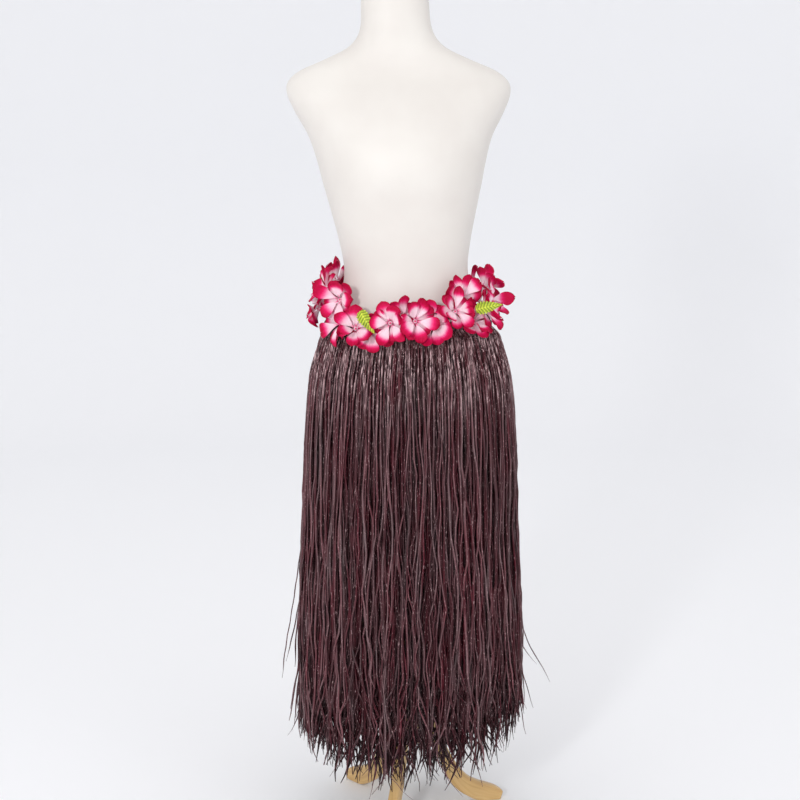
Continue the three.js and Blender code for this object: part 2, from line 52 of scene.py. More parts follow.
# Height, half-width, and depth before and behind the post, in millimetres.
FORM_LEVELS = MM * np.array([
    (640, 150, 86, 98), (652, 157, 94, 106), (700, 161, 101, 116), (750, 162, 104, 121),
    (800, 157, 103, 117), (850, 145, 99, 106), (900, 129, 93, 91), (945, 113, 86, 78),
    (985, 107, 82, 72), (1030, 113, 90, 74), (1080, 124, 106, 82), (1130, 136, 124, 90),
    (1170, 145, 126, 95), (1210, 157, 116, 98), (1250, 178, 98, 97), (1280, 190, 80, 91),
    (1300, 188, 66, 84), (1318, 168, 57, 76), (1338, 122, 52, 69), (1358, 82, 51, 64),
    (1385, 62, 52, 59), (1436, 57, 52, 56),
])
LEAN_FROM_Z = 800 * MM
LEAN = 0.042
SKIRT_LEVELS = MM * np.array([
    (60, 199, 150, 162), (200, 201, 152, 164), (320, 201, 151, 163), (430, 198, 148, 160),
    (540, 192, 143, 155), (620, 189, 139, 152), (700, 186, 135, 149), (760, 182, 130, 145),
    (807, 176, 124, 138), (835, 168, 118, 130), (862, 159, 112, 119), (890, 148, 106, 107),
])

# ---- Short calls on arrays ----


def unit(vector):
    """The vectors along the last axis, each made one long."""
    return vector / np.linalg.norm(vector, axis=-1, keepdims=True)


def stacked(*parts):
    """Arrays of any shapes that fit together, put side by side in a new last axis."""
    return np.stack(np.broadcast_arrays(*parts), axis=-1)


def signed_power(value, power):
    """A number's size raised to a power, with the number's own sign."""
    return np.sign(value) * np.abs(value) ** power


def lengths_along(line):
    """How long a line of points is up to each of them."""
    return np.concatenate([[0], np.cumsum(np.linalg.norm(np.diff(line, axis=0), axis=1))])


def round_turn(count):
    """Angles at even steps once round, from 0."""
    return np.linspace(0, TURN, count, endpoint=False)


def front_and_back(columns):
    """The columns of a thin piece, over its front and then back over its back: each one's place
    across, from -1 to 1, and 0 for the front or 1 for the back."""
    front = np.linspace(-1, 1, columns)
    return np.concatenate([front, front[::-1]]), np.repeat([0.0, 1.0], columns)


# ---- Formulas for the worn shapes ----


def smooth_step(low, high, value):
    """0 below low, 1 above high, and 3t^2 - 2t^3 between them."""
    t = np.clip((value - low) / (high - low), 0, 1)
    return t * t * (3 - 2 * t)


def level_at(table, z):
    """A table's row at heights z: a cubic through the rows, whose slope at a row is its neighbours'."""
    z = np.asarray(z, float)
    heights = table[:, 0]
    last = len(table) - 1
    high = np.clip(np.searchsorted(heights, z), 1, last)
    low, before, after = high - 1, np.maximum(high - 2, 0), np.minimum(high + 1, last)
    span = (heights[high] - heights[low])[..., None]
    t = np.clip((z - heights[low])[..., None] / span, 0, 1)
    rise = table[high] - table[low]
    slope_low = (table[high] - table[before]) / (heights[high] - heights[before])[..., None] * span
    slope_high = (table[after] - table[low]) / (heights[after] - heights[low])[..., None] * span
    bend = (slope_low - rise) * (t - 1) + (slope_high - rise) * t
    return table[low] + rise * t + t * (t - 1) * bend


def section_point(table, z, angle, grow=0.0):
    """x = (side + grow) c^(2/n) and y = (depth + grow) s^(2/n), with c and s the cosine and sine,
    each keeping its sign, n the squareness, and depth the front's where s is negative."""
    row = level_at(table, z)
    c, s = np.cos(angle), np.sin(angle)
    depth = np.where(s < 0, row[..., 2], row[..., 3])
    x = (row[..., 1] + grow) * signed_power(c, 2 / SQUARENESS)
    y = (depth + grow) * signed_power(s, 2 / SQUARENESS)
    return stacked(x, y, z)


def form_point(z, angle, grow=0.0):
    """The form's surface at a height and an angle: its section, moved sideways by the lean."""
    point = section_point(FORM_LEVELS, z, angle, grow)
    point[..., 0] -= LEAN * np.maximum(0, point[..., 2] - LEAN_FROM_Z)
    return point


def form_frame(z, angle):
    """The form's own directions, from its surface's slopes: out is round x rise, and up is out x round."""
    turn, step = math.radians(1), 2 * MM
    round_ = unit(form_point(z, angle + turn) - form_point(z, angle - turn))
    rise = unit(form_point(z + step, angle) - form_point(z - step, angle))
    out = unit(np.cross(round_, rise))
    return out, round_, unit(np.cross(out, round_))


GIRTH_Z = 700 * MM
GIRTH_STEPS = 720
girth_angles = np.linspace(0, TURN, GIRTH_STEPS + 1)
girth_lengths = lengths_along(section_point(SKIRT_LEVELS, np.full(GIRTH_STEPS + 1, GIRTH_Z), girth_angles))
GIRTH = girth_lengths[-1]


def angle_of(share):
    """The angle where a share of the skirt's girth, by length, has gone by; whole turns count on."""
    turns = np.floor(share)
    return TURN * turns + np.interp((share - turns) * GIRTH, girth_lengths, girth_angles)


def share_of(angle):
    """The share of the skirt's girth, by length, that lies before an angle."""
    return np.interp(angle % TURN, girth_angles, girth_lengths) / GIRTH


def chance(a, b):
    """A repeatable number from -1 to 1, for a piece's number a and a use b: the fraction of a large
    multiple of a sine."""
    x = np.sin(a * 12.9898 + b * 78.233) * 43758.5453
    return 2 * (x - np.floor(x)) - 1


# ---- Mesh building ----


def grid_faces(rows, columns, close_rows=False):
    """Quads between neighbouring rows and columns. The last column joins the first, and so may the rows."""
    i, j = np.meshgrid(np.arange(rows if close_rows else rows - 1), np.arange(columns), indexing="ij")
    next_i, next_j = (i + 1) % rows, (j + 1) % columns
    corners = [i * columns + j, i * columns + next_j, next_i * columns + next_j, next_i * columns + j]
    return np.stack(corners, axis=-1).reshape(-1, 4)


def tube_faces(rows, columns):
    """A closed-round grid's quads, and one face over each open end."""
    ends = [np.arange(columns)[::-1], (rows - 1) * columns + np.arange(columns)]
    return [grid_faces(rows, columns), np.stack(ends)]


def repeated(face_sets, copies, points_each):
    """The same faces for each copy of a shape, with the copies' points one after another."""
    shift = points_each * np.arange(copies)[:, None, None]
    return [(faces[None] + shift).reshape(-1, faces.shape[1]) for faces in face_sets]


def joined(shapes):
    """One shape from several, each of them points, face sets and UV."""
    points, face_sets, uvs, first = [], [], [], 0
    for shape_points, shape_faces, shape_uv in shapes:
        points.append(shape_points.reshape(-1, 3))
        face_sets += [faces + first for faces in shape_faces]
        uvs.append(shape_uv.reshape(-1, 2))
        first += len(points[-1])
    return np.concatenate(points), face_sets, np.concatenate(uvs)


def enclosed(points, face_sets):
    """The signed volume under the faces: it is positive when they point outwards."""
    total = 0.0
    for faces in face_sets:
        for k in range(1, faces.shape[1] - 1):
            a, b, c = points[faces[:, 0]], points[faces[:, k]], points[faces[:, k + 1]]
            total += np.einsum("ij,ij->", a, np.cross(b, c))
    return total


def add_object(name, data):
    """A new object in the scene, of a mesh, a lamp or a camera."""
    added = bpy.data.objects.new(name, data)
    bpy.context.scene.collection.objects.link(added)
    return added


def make_piece(name, shape, material, slot, replaces=(), **marks):
    """Puts a shape into a mesh that rides on the part. The shape is points, face sets and perhaps UV;
    marks are one number for each point."""
    points, face_sets, *uv = shape
    points = points.reshape(-1, 3)
    if enclosed(points, face_sets) < 0:
        face_sets = [faces[:, ::-1] for faces in face_sets]
    corners = np.concatenate([faces.ravel() for faces in face_sets]).astype(np.int32)
    sizes = np.concatenate([np.full(len(faces), faces.shape[1]) for faces in face_sets])
    mesh = bpy.data.meshes.new(name)
    mesh.vertices.add(len(points))
    mesh.vertices.foreach_set("co", points.astype(np.float32).ravel())
    mesh.loops.add(len(corners))
    mesh.loops.foreach_set("vertex_index", corners)
    mesh.polygons.add(len(sizes))
    mesh.polygons.foreach_set("loop_start", (np.cumsum(sizes) - sizes).astype(np.int32))
    mesh.polygons.foreach_set("use_smooth", np.full(len(sizes), True))
    if uv:
        layer = mesh.uv_layers.new(name="uv")
        layer.data.foreach_set("uv", uv[0].reshape(-1, 2)[corners].astype(np.float32).ravel())
    mesh.update(calc_edges=True)
    for mark, values in marks.items():
        attribute = mesh.attributes.new(mark, "FLOAT", "POINT")
        attribute.data.foreach_set("value", values.astype(np.float32).ravel())
    mesh.materials.append(material)
    piece = add_object(name, mesh)
    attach(piece, "root")
    if replaces:
        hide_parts(*replaces)
    return piece


# ---- Materials ----


def srgb(red, green, blue):
    """A colour as it looks on screen, from 0 to 255, as linear light with full alpha."""
    value = np.array([red, green, blue]) / 255
    linear = np.where(value <= 0.04045, value / 12.92, ((value + 0.055) / 1.055) ** 2.4)
    return (*linear.tolist(), 1.0)


class Finish:
    """A node material under construction, with short calls for the nodes that the finishes share."""

    def __init__(self, name, **shader_values):
        self.material = bpy.data.materials.new(name)
        self.material.use_nodes = True
        self.tree = self.material.node_tree
        self.shader = self.tree.nodes["Principled BSDF"]
        for socket, value in shader_values.items():
            self.shader.inputs[socket.replace("_", " ")].default_value = value

    def node(self, kind, **values):
        """A node whose sockets take numbers, colours or other nodes' outputs."""
        node = self.tree.nodes.new(f"ShaderNode{kind}")
        for key, value in values.items():
            name = key.replace("_", " ")
            if name in node.inputs:
                self.join(value, node.inputs[name])
            else:
                setattr(node, key, value)
        return node

    def join(self, value, socket):
        """Links a node's output to a socket, or sets the socket to a plain value."""
        if isinstance(value, bpy.types.NodeSocket):
            self.tree.links.new(value, socket)
        else:
            socket.default_value = value

    def noise(self, scale, detail, roughness=0.55, coordinates="Object"):
        """Noise over the object's or the surface's coordinates, stretched by a scale for each axis."""
        here = self.node("TexCoord").outputs[coordinates]
        place = self.node("Mapping", Vector=here, Scale=scale).outputs["Vector"]
        return self.node("TexNoise", Vector=place, Scale=1.0, Detail=detail, Roughness=roughness).outputs["Fac"]

    def math(self, operation, first, second=0.5, third=0.5, clamp=False):
        """One step of arithmetic on numbers or other nodes' outputs."""
        node = self.tree.nodes.new("ShaderNodeMath")
        node.operation = operation
        node.use_clamp = clamp
        for value, socket in zip((first, second, third), node.inputs):
            self.join(value, socket)
        return node.outputs[0]

    def ramp(self, factor, *stops):
        """A colour ramp; each stop is (position, colour)."""
        node = self.node("ValToRGB", Fac=factor)
        elements = node.color_ramp.elements
        while len(elements) < len(stops):
            elements.new(0.5)
        for element, (position, colour) in zip(elements, stops):
            element.position = position
            element.color = colour
        return node.outputs["Color"]

    def mix(self, factor, first, second):
        """Two colours mixed; a mix node keeps its colours at sockets 6 and 7, and its result at 2."""
        node = self.tree.nodes.new("ShaderNodeMix")
        node.data_type = "RGBA"
        for value, socket in zip((factor, first, second), (0, 6, 7)):
            self.join(value, node.inputs[socket])
        return node.outputs[2]

    def mark(self, name):
        """A number that the mesh keeps at each point."""
        return self.node("Attribute", attribute_name=name).outputs["Fac"]

    def line(self, value, slope, start, clamp=False):
        """slope x value + start"""
        return self.math("MULTIPLY_ADD", value, slope, start, clamp)

    def times(self, first, second):
        """first x second"""
        return self.math("MULTIPLY", first, second)

    def finished(self, colour, roughness, relief=None, strength=1.0, deep=0.0):
        """The material with its colour, its roughness and, where it has one, a relief from 0 to deep."""
        self.join(colour, self.shader.inputs["Base Color"])
        self.join(roughness, self.shader.inputs["Roughness"])
        if relief is not None:
            bump = self.node("Bump", Height=relief, Strength=strength, Distance=deep)
            self.join(bump.outputs["Normal"], self.shader.inputs["Normal"])
        return self.material


def raffia_finish():
    """Dyed raffia: each strand has its own maroon brown, with painted shade that makes it darker the deeper
    it hangs, with long streaks, and whole locks are redder or faded. The top is crinkled, with painted
    highlights on the crests of the faded locks' foremost strands. Small painted glints are scattered all over."""
    finish = Finish("dyed_raffia", Specular_IOR_Level=0.24)
    crinkle = finish.mark("crinkle")
    streaks = finish.noise((260, 260, 12), 4)
    wrinkles = finish.noise((420, 420, 130), 3)
    # Each strand's own random tone, with painted shade that darkens the deeper strands, plus long streaks
    tone = finish.line(streaks, 0.6, finish.times(finish.mark("tone"), 0.7))
    brown = finish.ramp(
        finish.math("SUBTRACT", tone, 0.15),
        (0.10, srgb(28, 5, 9)), (0.42, srgb(54, 19, 25)),
        (0.70, srgb(80, 41, 47)), (1.0, srgb(132, 96, 100)),
    )
    # Painted highlights: pale streaks along the crinkled top's foremost strands, on the faded locks only
    ribbons = finish.noise((270, 270, 42), 4, 0.6)
    crest_highlight = finish.line(ribbons, 1 / 0.12, -0.47 / 0.12, clamp=True)
    foremost = finish.line(finish.mark("tone"), 1.5, -0.25, clamp=True)
    crest_highlight = finish.times(crest_highlight, foremost)
    # Painted glints: small bright specks all over the skirt, stronger in the crinkled top
    specks = finish.math("GREATER_THAN", finish.noise((500, 500, 200), 1), 0.675)
    glints = finish.times(specks, finish.line(crinkle, 0.45, 0.35))
    faded = finish.noise((95, 95, 5), 2)
    crest_highlight = finish.times(crest_highlight, finish.line(faded, 6, -2.3, clamp=True))
    crest_highlight = finish.times(crest_highlight, crinkle)
    richness = finish.line(faded, -1.7, 1.8)
    brown = finish.node("HueSaturation", Saturation=richness, Color=brown).outputs["Color"]
    # The painted glints and crest highlights are mixed in as a pale tan pink
    shine = finish.math("ADD", glints, crest_highlight, clamp=True)
    colour = finish.mix(shine, brown, srgb(222, 188, 190))
    relief = finish.times(wrinkles, finish.line(crinkle, 0.65, 0.35))
    return finish.finished(colour, finish.line(wrinkles, 0.3, 0.34), relief, 0.8, 1.3 * MM)


def plait_finish():
    """The waist's plaited raffia: darker, with fibres along each ply."""
    finish = Finish("plaited_raffia", Specular_IOR_Level=0.45)
    fibres = finish.noise((60, 900, 1), 4, coordinates="UV")
    colour = finish.ramp(fibres, (0.25, srgb(40, 22, 25)), (0.6, srgb(78, 50, 54)), (0.85, srgb(122, 92, 95)))
    return finish.finished(colour, finish.line(fibres, 0.3, 0.4), fibres, 0.6, 0.5 * MM)


def petal_finish():
    """Printed cloth petals: lilac white in the middle, blushing pink to a crimson rim, with fine veins."""
    finish = Finish("petal_cloth", Specular_IOR_Level=0.15)
    blotches = finish.noise((120, 120, 120), 3)
    weave = finish.noise((1500, 1500, 1500), 2)
    veins = finish.noise((26, 2.2, 1), 3, coordinates="UV")
    blush = finish.line(finish.math("SUBTRACT", blotches, 0.5), 0.22, finish.mark("blush"))
    blush = finish.line(finish.math("SUBTRACT", veins, 0.5), 0.30, blush, clamp=True)
    tint = finish.ramp(
        blush,
        (0.03, srgb(248, 218, 228)), (0.26, srgb(248, 188, 208)), (0.50, srgb(238, 104, 156)),
        (0.74, srgb(228, 20, 98)), (1.0, srgb(188, 0, 60)),
    )
    threads = finish.line(weave, 0.3, -0.1, clamp=True)
    colour = finish.mix(threads, tint, srgb(120, 20, 60))
    relief = finish.line(veins, 0.7, finish.times(weave, 0.3))
    return finish.finished(colour, 0.62, relief, 0.35, 0.6 * MM)


def leaf_finish():
    """Ribbed yellow-green cloth, lighter along the midrib, with painted light on the raised ribs and painted
    olive shade in the folds between them.
    """
    finish = Finish("leaf_cloth", Specular_IOR_Level=0.4, Sheen_Weight=0.15)
    patches = finish.noise((90, 90, 90), 3)
    weave = finish.noise((1400, 1400, 1400), 2)
    # The rib mark paints light on the raised ribs and shade in the grooves; the lighter midrib and the patches
    # are the cloth's own
    shade = finish.line(patches, 0.5, finish.times(finish.mark("rib"), 0.55))
    colour = finish.ramp(shade, (0.15, srgb(80, 96, 20)), (0.45, srgb(150, 172, 36)), (0.8, srgb(212, 224, 70)))
    return finish.finished(colour, 0.5, weave, 0.3, 0.3 * MM)


def cotton_finish():
    """White cotton yarn, twisted, a little pink from the dye beside it."""
    finish = Finish("cotton_cord", Sheen_Weight=0.3, Specular_IOR_Level=0.2)
    yarn = finish.noise((700, 700, 700), 3)
    colour = finish.ramp(yarn, (0.3, srgb(214, 196, 198)), (0.7, srgb(248, 240, 240)))
    return finish.finished(colour, 0.85, yarn, 0.5, 0.4 * MM)


def form_finish():
    """The form's smooth moulded shell: warm white, faintly glossy, with a trace of handling marks."""
    finish = Finish("form_shell", Specular_IOR_Level=0.3, Coat_Weight=0.06, Coat_Roughness=0.4)
    cloud = finish.noise((9, 9, 9), 3)
    specks = finish.noise((260, 260, 260), 2)
    colour = finish.ramp(cloud, (0.3, srgb(219, 214, 208)), (0.7, srgb(225, 221, 215)))
    return finish.finished(colour, finish.line(specks, 0.12, 0.44), specks, 0.05, 0.3 * MM)


def wood_finish():
    """Varnished pale wood with the grain along each piece's length."""
    finish = Finish("varnished_wood", Specular_IOR_Level=0.5, Coat_Weight=0.35, Coat_Roughness=0.22)
    grain = finish.noise((9, 130, 1), 5, 0.6, coordinates="UV")
    rings = finish.noise((3, 26, 1), 3, coordinates="UV")
    figure = finish.line(grain, 0.55, finish.times(rings, 0.45))
    colour = finish.ramp(
        figure, (0.3, srgb(170, 128, 76)), (0.5, srgb(204, 166, 106)), (0.72, srgb(222, 190, 138)),
    )
    return finish.finished(colour, finish.line(grain, 0.2, 0.3), grain, 0.12, 0.5 * MM)


# ---- Camera, stage and light ----

PICTURE_WIDE, FOCAL_LENGTH = 800, 1379  # pixels
SENSOR_WIDE = 36
CAMERA_AT = (-0.018, -2.40, 1.10)
CAMERA_PITCH = 8.21  # degrees below level
STAGE_FLOOR, STAGE_SWEEP, STAGE_HIGH = 3.9, 1.3, 3.2  # the floor's and the sweep's radius, the wall's height
STAGE_SIDES, SWEEP_ROWS = 96, 20
WORLD_COLOUR, WORLD_STRENGTH = (1.0, 0.99, 1.0, 1), 0.95


def add_camera():
    """The camera before the skirt, a little above the belt, looking down on it."""
    data = bpy.data.cameras.new("camera")
    data.sensor_width = SENSOR_WIDE
    data.lens = SENSOR_WIDE * FOCAL_LENGTH / PICTURE_WIDE
    camera = add_object("camera", data)
    camera.location = CAMERA_AT
    camera.rotation_euler = (math.radians(90 - CAMERA_PITCH), 0, 0)
    bpy.context.scene.camera = camera


def add_stage():
    """A round floor that sweeps up into a low wall all round: flat, a quarter circle, then straight
    up, turned about the post."""
    bend = np.linspace(0, math.pi / 2, SWEEP_ROWS)
    radius = np.concatenate([[0.01], STAGE_FLOOR + STAGE_SWEEP * np.sin(bend), [STAGE_FLOOR + STAGE_SWEEP]])
    z = np.concatenate([[0], STAGE_SWEEP - STAGE_SWEEP * np.cos(bend), [STAGE_HIGH]])
    angle = round_turn(STAGE_SIDES)
    points = stacked(radius[:, None] * np.cos(angle), radius[:, None] * np.sin(angle), z[:, None])
    faces = [*grid_faces(len(z), STAGE_SIDES)[:, ::-1].tolist(), list(range(STAGE_SIDES))]
    mesh = bpy.data.meshes.new("backdrop")
    mesh.from_pydata(points.reshape(-1, 3).tolist(), [], faces)
    mesh.polygons.foreach_set("use_smooth", np.full(len(faces), True))
    mesh.materials.append(Finish("pale_paper").finished(srgb(245, 246, 248), 0.9))
    add_object("backdrop", mesh)


def add_light(name, at, towards, size, power):
    """A round lamp of a size in metres and a power in watts, which faces a point."""
    data = bpy.data.lights.new(name, "AREA")
    data.shape = "DISK"
    data.size = size
    data.energy = power
    light = add_object(name, data)
    light.location = at
    direction = Vector(towards) - Vector(at)
    light.rotation_euler = direction.to_track_quat("-Z", "Y").to_euler()


def add_lighting():
    """An even white world, a small hard key from the front left, and a wide soft fill from the right."""
    world = bpy.data.worlds.new("studio")
    world.use_nodes = True
    background = world.node_tree.nodes["Background"]
    background.inputs["Color"].default_value = WORLD_COLOUR
    background.inputs["Strength"].default_value = WORLD_STRENGTH
    bpy.context.scene.world = world
    bpy.context.scene.view_settings.view_transform = "Standard"
    add_light("key", (-1.0, -2.85, 1.5), (0, 0, 0.75), 0.36, 31)
    add_light("fill", (2.2, -2.4, 1.6), (0, 0, 0.7), 1.8, 8)


# ---- The dress form and its tripod ----

FORM_ROWS, FORM_COLUMNS = 150, 96
CAP_HIGH = 11 * MM
CAP_PROUD = 2 * MM
SEAM_GAP = 0.3  # millimetres between pieces that touch


def torso_shape():
    """The form's sections on a fine grid of height and angle, closed over at both ends."""
    z = np.linspace(FORM_LEVELS[0, 0], FORM_LEVELS[-1, 0], FORM_ROWS)
    return form_point(z[:, None], round_turn(FORM_COLUMNS)), tube_faces(FORM_ROWS, FORM_COLUMNS)


def neck_cap_shape():
    """The neck's top section, grown a little and rounded over its upper edge by a quarter ellipse."""
    top = FORM_LEVELS[-1, 0]
    edge = np.linspace(0, math.pi / 2, 8)
    rise = np.concatenate([[0, 0.12, 0.45], 0.55 + 0.45 * np.sin(edge)]) * CAP_HIGH
    grow = np.concatenate([[0.2, 1, 1], 1 - 3 * (1 - np.cos(edge))]) * CAP_PROUD
    angle = round_turn(FORM_COLUMNS)
    ring = form_point(np.full_like(angle, top), angle)
    middle = np.array([-LEAN * (top - LEAN_FROM_Z), 0, top])
    share = 1 + grow / FORM_LEVELS[-1, 1]
    points = middle + (ring - middle)[None] * share[:, None, None]
    points[..., 2] = (top + SEAM_GAP * MM + rise)[:, None]
    return points, tube_faces(len(rise), FORM_COLUMNS)


def turned_shape(profile, z):
    """A profile of (radius, height) pairs turned round the post, with its lengths as UV."""
    profile = MM * np.array(profile, float)
    angle = round_turn(TURNED_SIDES)
    radius, height = profile[:, 0][:, None], profile[:, 1][:, None]
    points = stacked(radius * np.cos(angle), radius * np.sin(angle), z + height)
    uv = stacked(lengths_along(profile)[:, None], np.abs(np.sin(angle / 2)) * radius * 2)
    return points, tube_faces(len(profile), TURNED_SIDES), uv


def catmull(rows, t):
    """A uniform Catmull-Rom curve through rows of points, at parameters t from 0 to 1."""
    rows = np.array(rows, float)
    last = len(rows) - 1
    place = np.clip(t * last, 0, last - 1e-9)
    i = place.astype(int)
    w = (place - i)[:, None]
    p0, p1, p2, p3 = (rows[np.clip(i + k, 0, last)] for k in (-1, 0, 1, 2))
    v0, v1 = (p2 - p0) / 2, (p3 - p1) / 2
    return (2 * p1 - 2 * p2 + v0 + v1) * w**3 + (3 * p2 - 3 * p1 - 2 * v0 - v1) * w**2 + v0 * w + p1


# A leg's upper and lower curves: distance from the post and height, in millimetres.
HUB_EDGE = 26.3
LEG_UPPER = [(HUB_EDGE, 234), (39, 204), (54, 152), (76, 96), (110, 50), (160, 27), (176, 15)]
LEG_LOWER = [(HUB_EDGE, 166), (40, 130), (57, 82), (80, 36), (108, 12), (136, 0), (171, 0)]
LEG_THICK = 22 * MM
LEG_TAPER, TOE_TAPER = 0.16, 0.25  # shares of the thickness lost along the leg, and at the toe
LEG_CORNERS = 0.42  # the power that squares the section; 1 would be an ellipse
LEG_AROUND = {"leg_front": -108, "leg_right": 12, "leg_back": 132}
LEG_ROWS, LEG_COLUMNS = 72, 32
TURNED_SIDES = 64


def leg_shape(around):
    """A rounded oblong section between the leg's upper and lower curves, carried from hub to toe."""
    t = np.linspace(0, 1, LEG_ROWS)
    upper, lower = MM * catmull(LEG_UPPER, t), MM * catmull(LEG_LOWER, t)
    lower[:, 1] = np.maximum(lower[:, 1], 0)
    middle, half = (upper + lower) / 2, (upper - lower) / 2
    corner = round_turn(LEG_COLUMNS)
    wide, high = signed_power(np.cos(corner), LEG_CORNERS), signed_power(np.sin(corner), LEG_CORNERS)
    narrowing = 1 - LEG_TAPER * smooth_step(0.1, 0.8, t) - TOE_TAPER * smooth_step(0.965, 1.0, t)
    flat = middle[:, None, :] + half[:, None, :] * high[None, :, None]
    side = (LEG_THICK / 2) * narrowing[:, None] * wide[None, :]
    c, s = math.cos(math.radians(around)), math.sin(math.radians(around))
    radius = flat[..., 0]
    points = stacked(radius * c - side * s, radius * s + side * c, flat[..., 1])
    across = side + high[None, :] * np.linalg.norm(half, axis=1)[:, None]
    return points, tube_faces(LEG_ROWS, LEG_COLUMNS), stacked(lengths_along(middle)[:, None], across)


def rounded_profile(radius, high, round_off):
    """A straight turned piece's profile from its foot to its top, with eased edges."""
    ease = [(0.0, 1.0), (0.29, 0.62), (0.62, 0.29), (1.0, 0.0)]
    foot = [(radius - round_off * inward, round_off * up) for up, inward in ease]
    body = [(radius, round_off + (high - 2 * round_off) * k / 8) for k in range(1, 8)]
    top = [(x, high - z) for x, z in reversed(foot)]
    return [(0.01, 0), *foot, *body, *top, (0.01, high)]


# Millimetres; the hub's profile is (radius, height over its bottom).
HUB_BOTTOM, HUB_TOP = 118, 252
POST_RADIUS = 12.5
PLATE_TOP, PLATE_HIGH, PLATE_RADIUS = 639.7, 12, 82
HUB_PROFILE = [
    (0.01, 0), (6, 0.4), (11, 1.6), (15, 4.4), (18.5, 8), (21.5, 12), (24, 16.5), (25.6, 21.5), (26, 26),
    (26, 40), (25.2, 42), (25.2, 44), (26, 46), (26, 104), (25.2, 106), (25.2, 108), (26, 110), (26, 117),
    (25, 121), (22.5, 124.5), (19, 127), (17, 129.5), (16, 132), (15.4, 134), (0.01, 134),
]


def add_form_and_stand():
    """The shell and its cap, then from the top down the plate, post and hub, and the three legs."""
    shell, wood = form_finish(), wood_finish()
    make_piece("form_shell", torso_shape(), shell, "form", ["form_torso"])
    make_piece("neck_cap", neck_cap_shape(), shell, "form", ["form_neck_cap"])
    plate_bottom = PLATE_TOP - PLATE_HIGH
    post_long = plate_bottom - HUB_TOP - 2 * SEAM_GAP
    turned = {
        "stand_plate": (rounded_profile(PLATE_RADIUS, PLATE_HIGH, 2.4), plate_bottom),
        "stand_post": (rounded_profile(POST_RADIUS, post_long, 1.0), HUB_TOP + SEAM_GAP),
        "stand_hub": (HUB_PROFILE, HUB_BOTTOM),
    }
    for node, (profile, z) in turned.items():
        make_piece(f"turned_{node[6:]}", turned_shape(profile, z * MM), wood, "wood", [node])
    for node, around in LEG_AROUND.items():
        make_piece(f"carved_{node}", leg_shape(around), wood, "wood", [node])


# ---- The skirt ----

PANELS = 12
STRANDS_A_PANEL = 166
OUTER_EVERY = 12  # one strand in this many hangs clear in front of the rest
STRAND_SEED = 41
STRAND_WIDE = 4.0 * MM
STRAND_THICK = 0.62  # of its width
CRINKLED_LONG, PLAIN_LONG = 120 * MM, 400 * MM  # of a strand's top, and of its straighter middle
CRINKLED_STATIONS, PLAIN_STATIONS, KINKED_STATIONS = 18, 13, 19
ROOT_Z = 904 * MM
BAND_BOTTOM, BAND_TOP = 884 * MM, 907 * MM
ROOT_NEAR, ROOT_FAR = 5 * MM, 9.5 * MM  # from the form, under the plait
SKIRT_DEEP = 15 * MM  # from the outermost to the innermost strands
DRAWN_IN = 1.2 * MM  # from the skirt's section to the outermost strands' middles
# The tips' mean height and its spread, how much lower the front's and higher the back's are, and how
# much higher they are at the sides and before the wearer's left hip.
HEM_Z, HEM_RAGGED, HEM_DIP, HEM_SIDES, HEM_LEFT_HIP = 136 * MM, 23 * MM, 6 * MM, 44 * MM, 26 * MM
LOWEST_TIP, HIGHEST_TIP = 92 * MM, 300 * MM
SHORT_SHARE, SHORTER_BY = 0.4, (10, 120)  # of the outer strands, and millimetres
# Heights in metres, each from where something begins to where it is full.
LOOSENING, TANGLING, DRIFTING = (0.89, 0.46), (0.42, 0.17), (0.84, 0.20)
CRINKLING, CRUMPLING, CRINKLE_AND_HIGHLIGHT = (0.76, 0.84), (0.74, 0.84), (0.70, 0.86)
UNDER_BAND, HELD, DEEPENING, WIDENING = (0.905, 0.885), (0.872, 0.888), (0.89, 0.80), (0.90, 0.78)
# Waves along a strand, as (number, size): sideways and outwards in metres, the width's as a share of
# itself, and the twist's in radians.
SWAY_WAVES = ((1.5, 6.5 * MM), (4, 2.2 * MM), (9, 0.8 * MM))
LIFT_WAVES = ((1.7, 2.0 * MM), (4.4, 1.2 * MM), (11, 0.7 * MM))
WIDTH_WAVES = ((5, 0.12), (14, 0.13))
TWIST_WAVES = ((0.8, 0.5), (2.6, 0.4))
KINKS, HEM_KINKS = (17, 1.9 * MM), (23, 3.4 * MM)  # straight runs in a strand, and their offsets
DRIFT, FAR_DRIFT, FAR_DRIFT_SHARE = 4.5, 22, 0.14  # sideways, in millimetres; a few go far
LOOSE_TIP = 130 * MM  # of a strand, which splays sideways and flares outwards
SPLAY, SPLAY_LONG = 19, 65 * MM  # degrees of spread, and the length that moves by its tangent
FLARE, FLARE_LONG = (3, 7), 50 * MM  # degrees, mean and spread, and the length
BUNDLES, HEM_BUNDLES = 64, 38  # round the whole skirt
# Strands that hang clear of the others: angle, how far out and at what height the tip is, the height
# where they leave the others, and how far the tip goes round. Degrees and millimetres.
STRAYS = [
    (180.5, 33, 244, 531, 0), (176, 17, 288, 420, 4), (183, 14, 190, 235, 0), (188, 18, 140, 190, -6),
    (171, 10, 330, 430, -4), (0.5, 49, 245, 352, 0), (4, 27, 262, 312, 0), (-4, 13, 172, 225, 0),
    (-9, 12, 150, 215, 6), (8, 16, 190, 300, 0), (-114, 4, 80, 132, -17), (-75.6, 4, 88, 140, 9),
    (-100, 6, 82, 128, 23), (-91, 2, 100, 150, 0), (-60, 8, 96, 170, 14), (-128, 10, 110, 180, -12),
    (96, 12, 92, 170, -14), (62, 6, 104, 190, 12), (118, 24, 118, 260, -8), (140, 8, 96, 160, 10),
]


